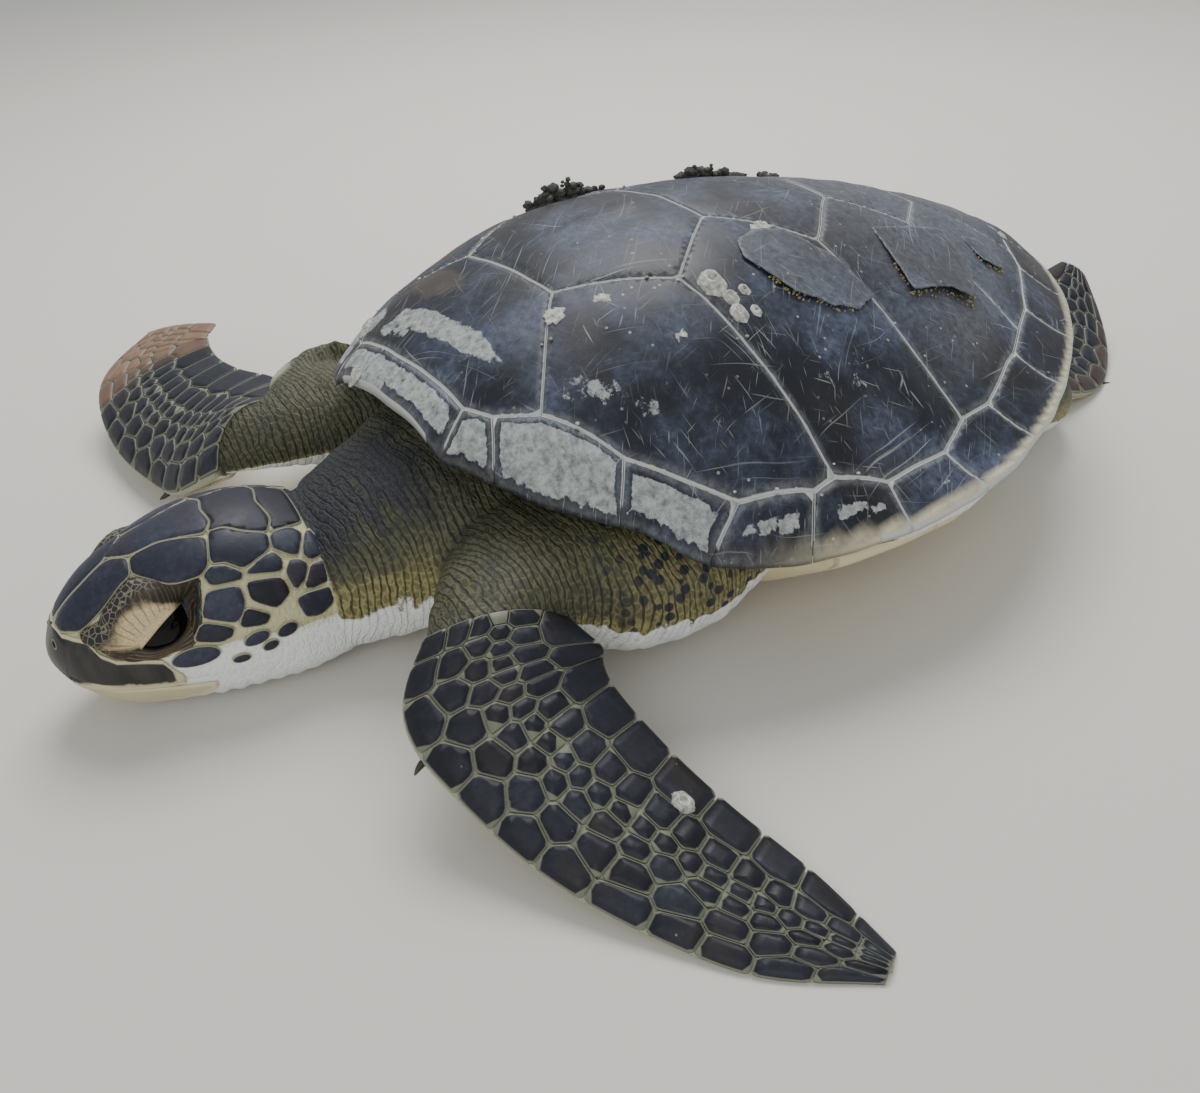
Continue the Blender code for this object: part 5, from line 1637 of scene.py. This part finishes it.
def horn_material(name, dark, pale, base):
    """Beak keratin: hard and satin, near black with faint upright streaks and pale borders."""
    made, shader, add, spot, line, cut = start_material(name, 0.36, 1.54, "line", "cut")
    streak = add("Mapping", {"Vector": spot, "Scale": (260.0, 260.0, 60.0)})
    streak = add("TexNoise", {"Vector": streak, "Scale": 1.0, "Detail": 4.0})
    share = add("MapRange", (streak, 0.45, 0.8, base, base + 0.06))
    border = add("MapRange", (line, 0.0017, 0.001), **SOFT)
    ragged = add("MapRange", (streak, 0.3, 0.7, -0.0006, 0.0008))
    low = add("Math", (cut, ragged), **PLUS)
    low = add("MapRange", (low, 0.004, 0.0022), **SOFT)
    border = add("Math", (border, low), **LARGER)
    share = add("Math", (share, border), **LARGER)
    color = add("Mix", {0: share, 6: dark, 7: pale}, **TINT)
    relief = add("Bump", {"Height": streak, "Strength": 0.2, "Distance": 0.0002})
    plug(shader, {"Base Color": color, "Normal": relief})
    return made


NOSTRIL = (0.962, 40.0)     # share and degrees
NOSTRIL_RADIUS = 0.0011
NOSTRIL_WIDE, NOSTRIL_TALL = 0.8, 1.4


def nostril(side, turn_radius):
    """A ring round the nostril, or where turn_radius is 0 its dark pit, a piece that stands for the shade in the
    hole.
    """
    share, angle = NOSTRIL[0], side * NOSTRIL[1]
    middle = head_point(share, angle, 0.001)
    ahead = (head_point(share + 0.01, angle) - head_point(share - 0.02, angle)).normalized()
    aside = (head_point(share, angle + 4.0) - head_point(share, angle - 4.0)).normalized()
    out = ahead.cross(aside).normalized()
    out = out if out.dot(middle - head_point(share, angle, -0.002)) > 0 else -out

    def place(along, across, rise):
        return middle + ahead * (along * NOSTRIL_WIDE) + aside * (across * NOSTRIL_TALL) + out * rise + MIDDLE

    def ring(a, b):
        (c, s), (reach, rise) = spoke(b % 1.0), spoke(a % 1.0)
        reach = NOSTRIL_RADIUS + turn_radius * reach
        return place(c * reach, s * reach, 0.4 * turn_radius * rise)

    if turn_radius > 0.0:
        return sheet(12, 32, ring)
    bm = bmesh.new()
    bmesh.ops.create_uvsphere(bm, u_segments=24, v_segments=12, radius=NOSTRIL_RADIUS + 0.0001)
    for vert in bm.verts:
        vert.co = place(vert.co.x, vert.co.y, vert.co.z * 0.5 - 0.0002)
    return bm


JAW_STREAK = "#8a7f5e"
NOSTRIL_RIM = "#8f8a76"


class TURTLE_OT_beak(bpy.types.Operator):
    """Build the upper and the lower beak"""
    bl_idname = "turtle.beak"
    bl_label = "Beak"

    def execute(self, context):
        face = context.scene.turtle_face
        upper = horn_sheet(90, 44, lambda s: (stops(BEAK_LINE, s), mouth_angle(s)), 0.6, 1.0,
                           lambda s, b: 0.0003 + 0.0007 * smooth_step(b / 0.2) * ramp(s, 0.6, 0.05))
        lower = horn_sheet(80, 24, lower_beak_angles, LOWER_BEAK_BACK, lower_beak_front(),
                           lambda s, b: 0.0002 - 0.0004 * ramp(s, 0.8, 0.2))
        horn = horn_material("beak_horn", face.beak, face.beak_edge, 0.0)
        pale = horn_material("jaw_horn", JAW_STREAK, face.jaw, 0.75)
        add_piece("beak", upper, horn, "beak", "beak_upper")
        add_piece("lower_beak", lower, pale, "jaw", "jaw")
        # the pits are simply dark, painted shade for the nostril holes, and their rims soft skin
        pit_shade, shader, *_ = start_material("nostril_pit", 0.7, 1.5)
        plug(shader, {"Base Color": face.eye})
        rim, shader, *_ = start_material("nostril_rim", 0.5, 1.5)
        plug(shader, {"Base Color": NOSTRIL_RIM})
        for word, side in SIDES:
            add_piece(f"nostril_{word}", nostril(side, 0.0), pit_shade, "beak")
            add_piece(f"nostril_rim_{word}", nostril(side, 0.0003), rim, "beak")
        return {"FINISHED"}


LID_OVER = 0.0005           # how far the lids lie over the eyeball
LID_THICK = 0.0009


def lids(side):
    """Both lids as one closed sheet round the opening, wrinkled, its outer edge sunk into the skin."""
    rows, columns = 72, 144
    ways = [lid_edge(side, k / columns) for k in range(columns)]
    edges = [orbit_edge(side, k / columns) for k in range(columns)]
    center = eye_center(side)
    bm = bmesh.new()
    bmesh.ops.create_grid(bm, x_segments=rows, y_segments=columns, size=1.0)
    pale, fold, bead = layers(bm, "pale", "fold", "bead")
    for vert in bm.verts:
        a, turn = (vert.co.x + 1.0) / 2.0, (vert.co.y + 1.0) / 2.0
        number = round(turn * columns) % columns
        turn = number / columns
        front = a <= 0.5
        share = 1.0 - 2.0 * a if front else 2.0 * a - 1.0
        outer = edges[number] - center
        way = ways[number].slerp(outer.normalized(), share)
        under = 0.5 - 0.5 * sin(2.0 * pi * turn)      # 0 on the lower lid, 1 on the upper
        lower = fall(under, 0.35, 0.3)
        lip = 0.0005 * bump_at(share, 0.04, 0.06)
        rings = sin(share * mix(16.0, 34.0, lower) + 1.5 * sin(2.0 * pi * turn)) * smooth_step(share / 0.12)
        ribs = sin(turn * 2.0 * pi * 40.0 + 5.0 * share) * ramp(share, 0.05, 0.2)
        relief = mix(0.00012, 0.00034, lower) * rings + 0.00013 * ribs * (1.0 - lower) * (1.0 - share)
        full = 0.0005 * bump_at(share, 0.3, 0.28) * (1.0 - share)
        reach = mix(EYE_RADIUS + LID_OVER, outer.length, smooth_step(share * 1.03) ** 1.2)
        fade = fall(share, 0.8, 0.2)
        if not front:
            reach -= LID_THICK * sqrt(max(0.0, 1.0 - share * share))
        vert.co = center + way * (reach + (lip + relief * fade + full if front else 0.0)) + MIDDLE
        cream = mix(0.3, 0.72, ramp(turn, 0.62, 0.26))
        light = (1.0 - smooth_step((share - cream * 0.45) / (cream * 0.75))) * bump_at(turn, 0.8, 0.16)
        vert[pale] = clamp(light * 1.3)
        # the fold layer places the painted highlight on the ridges and the painted shade in the creases
        vert[fold] = 0.5 - 0.5 * rings * lower - 0.35 * ribs * (1.0 - lower)
        vert[bead] = ramp(share, 0.5, 0.3) * bump_at(turn, 0.85, 0.15)
    bmesh.ops.remove_doubles(bm, verts=bm.verts, dist=1e-6)
    return bm


# painted highlight laid on the ridges of the lid's folds
LID_RIDGE_HIGHLIGHT = "#85734a"
LID_BEAD, BEAD_SEAM = "#211f24", "#7d7762"


def lid_material(face):
    """Soft skin, dry and matt: the upper lid cream, the lower brown with rings of folds; painted shade darkens the
    creases and the grooves, and a painted highlight lightens the ridges of the folds.
    """
    made, shader, add, _, pale, fold, bead = start_material("lid_skin", 0.55, 1.45, "pale", "fold", "bead")
    cloud = add("TexNoise", {"Scale": 210.0, "Detail": 6.0, "Roughness": 0.7})
    shift = add("MapRange", (cloud, 0.25, 0.75, -0.25, 0.25))
    light = add("Math", (pale, shift), **PLUS)
    light = add("MapRange", (light, 0.2, 0.95), **SOFT)
    brown = add("MapRange", (cloud, 0.35, 0.75, 0.0, 0.55))
    # painted highlight on the ridges of the folds; painted shade in the creases and in the grooves between the small
    # cells
    ridge_highlight = add("MapRange", (fold, 0.4, 0.05, 0.0, 0.55), **SOFT)
    crease = add("MapRange", (fold, 0.6, 0.92, 0.0, 0.75), **SOFT)
    cells = add("TexVoronoi", {"Scale": 700.0}, feature="DISTANCE_TO_EDGE")
    groove = add("MapRange", (cells, 0.1, 0.01, 0.0, 0.3))
    # small dark beads with pale seams where the upper lid meets the scales in front
    beads = add("TexVoronoi", {"Scale": 430.0}, feature="DISTANCE_TO_EDGE")
    beads = add("MapRange", (beads, 0.03, 0.1), **SOFT)
    beads = add("Mix", {0: beads, 6: BEAD_SEAM, 7: LID_BEAD}, **TINT)
    zone = add("MapRange", (bead, 0.2, 0.75, 0.0, 0.9))
    color = face.lid_dark_and_crease_shade
    for share, tone in ((brown, face.lid_fold), (ridge_highlight, LID_RIDGE_HIGHLIGHT), (light, face.lid), (crease, face.lid_dark_and_crease_shade),
                        (groove, face.lid_dark_and_crease_shade), (zone, beads)):
        color = add("Mix", {0: share, 6: color, 7: tone}, **TINT)
    relief = add("Bump", {"Height": cells, "Strength": 0.4, "Distance": 0.0003})
    plug(shader, {"Base Color": color, "Normal": relief})
    return made


class TURTLE_OT_lids(bpy.types.Operator):
    """Build the eyelids"""
    bl_idname = "turtle.lids"
    bl_label = "Eyelids"

    def execute(self, context):
        made = lid_material(context.scene.turtle_face)
        for word, side in SIDES:
            add_piece(f"lids_{word}", lids(side), made, "skin")
        return {"FINISHED"}


CLAW_LENGTH = 0.0065
CLAW_RADIUS = 0.0014
CLAW_DROP = 0.001
CLAW_ROOT = 0.003           # how far in from the leading edge a claw starts


def claw(limb):
    ahead, back, up, axis, chord, _ = limb.frame(limb.claw_at)
    base = axis - back * (chord * 0.5 - CLAW_ROOT)

    def place(a, b):
        center = base + (ahead * 0.35 * a - back * 0.9) * a * CLAW_LENGTH - up * CLAW_DROP
        radius = CLAW_RADIUS * sqrt(max(0.02, 1.0 - a * a))
        c, s = spoke(b)
        return settle(center + ahead * (c * radius) + up * (s * radius))

    return tube(12, 20, place)


class TURTLE_OT_claws(bpy.types.Operator):
    """Build the claw on the leading edge of each limb"""
    bl_idname = "turtle.claws"
    bl_label = "Claws"

    def execute(self, context):
        face = context.scene.turtle_face
        # solid keratin: dark, satin and streaked
        made, shader, add, _ = start_material("claw_horn", 0.35, 1.54)
        streak = add("TexNoise", {"Scale": 600.0, "Detail": 3.0})
        plug(shader, {"Base Color": add("Mix", {0: streak, 6: face.beak, 7: face.claw}, **TINT)})
        for limb in LIMBS:
            add_piece(limb.claw.replace("claw_", "nail_"), claw(limb), made, "claw", limb.claw)
        return {"FINISHED"}


# ------------ what the sea left on the shell
# Flaps of horn that have come loose: outline, hinge, way to the free edge, its length and lift.
FLAPS = (
    (((0.047, -0.036), (0.043, -0.025), (0.044, -0.014), (0.05, -0.008), (0.061, 0.001), (0.075, 0.004),
      (0.08, -0.008), (0.078, -0.02), (0.073, -0.032), (0.066, -0.036), (0.056, -0.04)),
     (0.047, -0.036), (0.819, -0.573), 0.022, 0.003),
    (((0.047, 0.032), (0.045, 0.054), (0.044, 0.076), (0.058, 0.071), (0.07, 0.066), (0.082, 0.052),
      (0.077, 0.044), (0.077, 0.036), (0.078, 0.023)),
     (0.045, 0.032), (1.0, 0.0), 0.035, 0.0038),
    (((0.047, 0.085), (0.045, 0.097), (0.055, 0.1), (0.064, 0.092), (0.06, 0.084)),
     (0.045, 0.085), (1.0, 0.0), 0.018, 0.0018),
)
LOOSE_CELL = 0.0016         # size of the mesh of the flaps and flakes
LOOSE_THICK = 0.0005        # thickness of a flap, and how far it stands off at its hinge
# Barnacles: place on the shell and radius.
BARNACLES = ((0.061, -0.059, 0.0052), (0.068, -0.0565, 0.003), (0.067, -0.05, 0.0026), (0.0735, -0.058, 0.0034),
             (0.0745, -0.0515, 0.0024), (-0.05, -0.14, 0.0034), (-0.0455, -0.143, 0.0028), (-0.02, -0.16, 0.003),
             (-0.024, -0.158, 0.002), (0.03, 0.135, 0.0024), (-0.09, 0.02, 0.0036), (-0.085, 0.026, 0.0024))
# Star-shaped flakes of lime: place and radius.
FLAKES = ((0.046, -0.094, 0.0031), (0.039, -0.109, 0.0036), (0.068, -0.082, 0.0044), (0.062, -0.079, 0.0015),
          (0.043, -0.022, 0.0036), (0.041, -0.018, 0.003))
FLAKE_CORNERS = 30
FLAKED_PLATES = ("costal_1", "costal_2", "vertebral_1")     # plates with dots of lime along their seams
# Dark crusts that stand on the far side of the dome: two ends, height and width.
CRUSTS = (((-0.051, -0.06), (-0.04, -0.034), 0.0095, 0.005), ((-0.03, -0.002), (-0.023, 0.024), 0.0075, 0.0045),
          ((-0.021, 0.036), (-0.019, 0.04), 0.0045, 0.003))
# The barnacle on the left flipper: share along it, place across it and radius.
FLIPPER_BARNACLE = (0.6, 0.8, 0.0036)
# A barnacle's outline from its foot over its lip into its mouth: reach and height, and its height by its radius.
BARNACLE_PROFILE = ((1.0, -0.05), (0.9, 0.3), (0.62, 0.75), (0.5, 1.0), (0.36, 0.95), (0.22, 0.45), (0.02, 0.4))
BARNACLE_TALL = 0.62


def on_shell(x, y, rise):
    return SHELL_TURN @ Vector((x, y, top(x, y) + keel_ridge(x, y) + rise))


def flaps():
    """The loose flaps: thin sheets that bend up from their hinge, wavy at the free edge."""
    whole = bmesh.new()
    layers(whole, "over", "edge", "dull")
    for outline, hinge, way, length, lift in FLAPS:
        ragged = wavered(close_set(vectors(*outline), LOOSE_CELL), 0.7, 420.0, 0.0008)
        bm, over, edge = flat_plate(ragged, LOOSE_CELL, (0.0003, 0.0005))
        dull, = layers(bm, "dull")
        for vert in bm.verts:
            x, y = vert.co.xy
            out = clamp((vert.co.xy - Vector(hinge)).dot(Vector(way)) / length, 0.0, 1.2)
            wave = 0.0006 * noise.noise(Vector((x, y, 0.2)) * 160.0) * out
            rise = LOOSE_THICK if vert[over] > 0.5 else 0.0
            vert.co = on_shell(x, y, LOOSE_THICK + lift * out ** 1.7 + wave + rise)
            vert[dull] = 0.9
            vert[edge] += 0.0009
        join_into(whole, bm)
    return whole


def lump(place, radius, flat=1.0, detail=1):
    """A small uneven stone."""
    bm = bmesh.new()
    bmesh.ops.create_icosphere(bm, subdivisions=detail, radius=1.0)
    for vert in bm.verts:
        uneven = 1.0 + 0.55 * noise.noise(vert.co * 1.9 + place * 900.0)
        vert.co = place + Vector((vert.co.x, vert.co.y, vert.co.z * flat)) * (radius * uneven)
    return bm


def grit():
    """Sand and lime caught under the free edges of the flaps."""
    chance = Random(5)
    whole = bmesh.new()
    for outline, hinge, way, length, lift in FLAPS:
        for p in close_set(vectors(*outline), 0.0005):
            out = (p - Vector(hinge)).dot(Vector(way)) / length
            if out < 0.55 or chance.random() < 0.3:
                continue
            spot = p + Vector(way) * chance.uniform(-0.0022, 0.0006)
            rise = chance.uniform(0.0, 0.5) * lift * out
            join_into(whole, lump(on_shell(spot.x, spot.y, rise), chance.uniform(0.0003, 0.0007)))
    return whole


def barnacle(place, radius):
    """A cone of lime plates with an opening; place(across, along, up) gives its points."""
    last = len(BARNACLE_PROFILE) - 1

    def ring(a, b):
        row = a * last
        low = min(int(row), last - 1)
        reach, height = (mix(BARNACLE_PROFILE[low][k], BARNACLE_PROFILE[low + 1][k], row - low) for k in (0, 1))
        ribbed = radius * reach * (1.0 + 0.05 * cos(12.0 * pi * b) + 0.02 * cos(34.0 * pi * b))
        c, s = spoke(b)
        return place(ribbed * c, ribbed * s, height * radius * BARNACLE_TALL)

    return tube(12, 36, ring)


def barnacles():
    whole = bmesh.new()
    for x, y, radius in BARNACLES:
        join_into(whole, barnacle(lambda a, b, up: on_shell(x + a, y + b, up), radius))
    share, across, radius = FLIPPER_BARNACLE
    limb = LIMBS[0]
    length = limb_length(limb)
    chord = limb.frame(share)[4]
    join_into(whole, barnacle(lambda a, b, up: settle(limb.surface(share + a / length, across + b / chord, up)),
                              radius))
    return whole


def flakes():
    """Flat star-shaped flakes of lime and the small dots along the seams."""
    chance = Random(11)
    whole = bmesh.new()
    for x, y, radius in FLAKES:
        outline = []
        for k in range(FLAKE_CORNERS):
            turn = 2.0 * pi * k / FLAKE_CORNERS
            reach = radius * (1.0 + 0.1 * sin(7.0 * turn + x * 900.0) + chance.uniform(-0.2, 0.14))
            outline.append(Vector((x + reach * cos(turn), y + reach * sin(turn))))
        bm, over, _ = flat_plate(outline, LOOSE_CELL, (0.0003,))
        for vert in bm.verts:
            vert.co = on_shell(vert.co.x, vert.co.y, 0.0005 if vert[over] > 0.5 else 0.0001)
        join_into(whole, bm)
    for plate, outline in plate_outlines().items():
        for p in close_set(outline, 0.012) if plate.startswith(FLAKED_PLATES) else ():
            if chance.random() < 0.35:
                x, y = p.x + chance.uniform(-0.002, 0.002), p.y + chance.uniform(-0.002, 0.002)
                join_into(whole, lump(on_shell(x, y, 0.0003), chance.uniform(0.0005, 0.0009), 0.6))
    return whole


def crusts():
    """Dark crusts of weed and shell that stand up from the dome."""
    chance = Random(3)
    whole = bmesh.new()
    for first, last, height, width in CRUSTS:
        count = max(4, round((Vector(last) - Vector(first)).length / 0.0012))
        for k in range(count):
            part = k / (count - 1)
            x, y = (mix(first[i], last[i], part) + chance.uniform(-0.5, 0.5) * width for i in (0, 1))
            tall = height * (0.45 + 0.55 * sin(pi * clamp(part + 0.12))) * chance.uniform(0.6, 1.0)
            radius = chance.uniform(0.0012, 0.003)
            for step in range(max(1, round(tall / (radius * 1.1)))):
                rise = step * radius * 1.1
                side = chance.uniform(-0.0008, 0.0008)
                join_into(whole, lump(on_shell(x + side, y + side, rise), radius * (1.0 - 0.08 * step), 0.8, 2))
    return whole


def lime_material(name, light, dark, scale):
    """Shell lime or caught sand: chalky, matt and uneven."""
    made, shader, add, _ = start_material(name, 0.85, 1.5)
    cloud = add("TexNoise", {"Scale": scale, "Detail": 6.0, "Roughness": 0.75})
    share = add("MapRange", (cloud, 0.38, 0.62))
    color = add("Mix", {0: share, 6: dark, 7: light}, **TINT)
    relief = add("Bump", {"Height": cloud, "Strength": 0.6, "Distance": 0.0004})
    plug(shader, {"Base Color": color, "Normal": relief})
    return made


class TURTLE_OT_shell_wear(bpy.types.Operator):
    """Build the loose flaps, barnacles, flakes and crusts on the shell"""
    bl_idname = "turtle.shell_wear"
    bl_label = "Shell wear"

    def execute(self, context):
        shell = context.scene.turtle_shell
        horn = bpy.data.materials.get("scute_horn") or scute_material(shell, "scute_horn", False)
        lime = lime_material("barnacle_lime", "#d8d7cd", "#7e7c72", 420.0)
        sand = lime_material("caught_sand", "#b8a878", "#6d6448", 900.0)
        crust = lime_material("dark_crust", "#5b5a50", "#1f2022", 300.0)
        add_piece("flaps", flaps(), horn, "shell_plate")
        add_piece("grit", grit(), sand, None)
        add_piece("barnacles", barnacles(), lime, None)
        add_piece("flakes", flakes(), lime, None)
        add_piece("crusts", crusts(), crust, None)
        return {"FINISHED"}


# ------------ stage
CAMERA_PLACE = (0.34634, -0.26836, 0.27085)
CAMERA_RIGHT = (0.57737, 0.81477, -0.05276)
CAMERA_UP = (-0.44894, 0.37077, 0.81301)
CAMERA_BACK = (0.68198, -0.44572, 0.57986)
CAMERA_LENS = 33.96
WORLD_COLOR = (0.92, 0.96, 1.0)


def soft_light(name, place, target, size, power):
    data = bpy.data.lights.new(name, "AREA")
    data.shape = "DISK"
    data.size = size
    data.energy = power
    made = object_with(name, data)
    made.location = place
    made.rotation_euler = (Vector(target) - Vector(place)).to_track_quat("-Z", "Y").to_euler()


class TURTLE_OT_stage(bpy.types.Operator):
    """Build the floor, the soft studio light and the camera"""
    bl_idname = "turtle.stage"
    bl_label = "Stage"

    def execute(self, context):
        stage = context.scene.turtle_stage
        bm = bmesh.new()
        bmesh.ops.create_grid(bm, x_segments=1, y_segments=1, size=6.0)
        floor = object_with("floor", finish_mesh("floor", bm))
        # matt painted board
        made, shader, *_ = start_material("floor_board", 0.8, 1.5)
        plug(shader, {"Base Color": stage.floor})
        floor.data.materials.append(made)
        soft_light("key", (-0.5, 0.35, 1.1), (0.0, 0.0, 0.05), 0.9, stage.key)
        soft_light("fill", (0.9, -0.9, 0.7), (0.0, -0.05, 0.05), 1.0, stage.fill)
        world = bpy.data.worlds.new("studio")
        context.scene.world = world
        world.use_nodes = True
        plug(world.node_tree.nodes["Background"], {"Color": WORLD_COLOR, "Strength": stage.world})
        lens = bpy.data.cameras.new("camera")
        lens.lens = CAMERA_LENS
        lens.sensor_width = 36.0
        lens.sensor_fit = "HORIZONTAL"
        lens.clip_start = 0.01
        camera = object_with("camera", lens)
        turn = Matrix((CAMERA_RIGHT, CAMERA_UP, CAMERA_BACK)).transposed()
        camera.matrix_world = Matrix.Translation(CAMERA_PLACE) @ turn.to_4x4()
        context.scene.camera = camera
        return {"FINISHED"}


# ------------ panel and registration
OPERATORS = (TURTLE_OT_shell_plates, TURTLE_OT_belly, TURTLE_OT_skin, TURTLE_OT_head_scales,
             TURTLE_OT_limb_scales, TURTLE_OT_eyes, TURTLE_OT_lids, TURTLE_OT_beak, TURTLE_OT_claws,
             TURTLE_OT_shell_wear, TURTLE_OT_stage)
SETTINGS = (("turtle_shell", ShellSettings), ("turtle_skin", SkinSettings), ("turtle_scales", ScaleSettings),
            ("turtle_face", FaceSettings), ("turtle_stage", StageSettings))


class TURTLE_PT_panel(bpy.types.Panel):
    """Buttons for each piece of the turtle"""
    bl_idname = "TURTLE_PT_panel"
    bl_label = "Sea turtle"
    bl_space_type = "VIEW_3D"
    bl_region_type = "UI"
    bl_category = "Turtle"

    def draw(self, context):
        for made in OPERATORS:
            self.layout.operator(made.bl_idname)


def register():
    for name, group in SETTINGS:
        bpy.utils.register_class(group)
        setattr(bpy.types.Scene, name, PointerProperty(type=group))
    for made in (*OPERATORS, TURTLE_PT_panel):
        bpy.utils.register_class(made)


def unregister():
    for made in (TURTLE_PT_panel, *OPERATORS[::-1]):
        bpy.utils.unregister_class(made)
    for name, group in SETTINGS:
        delattr(bpy.types.Scene, name)
        bpy.utils.unregister_class(group)


def main():
    register()
    for made in OPERATORS:
        group, action = made.bl_idname.split(".")
        getattr(getattr(bpy.ops, group), action)()


if __name__ == "__main__":
    main()
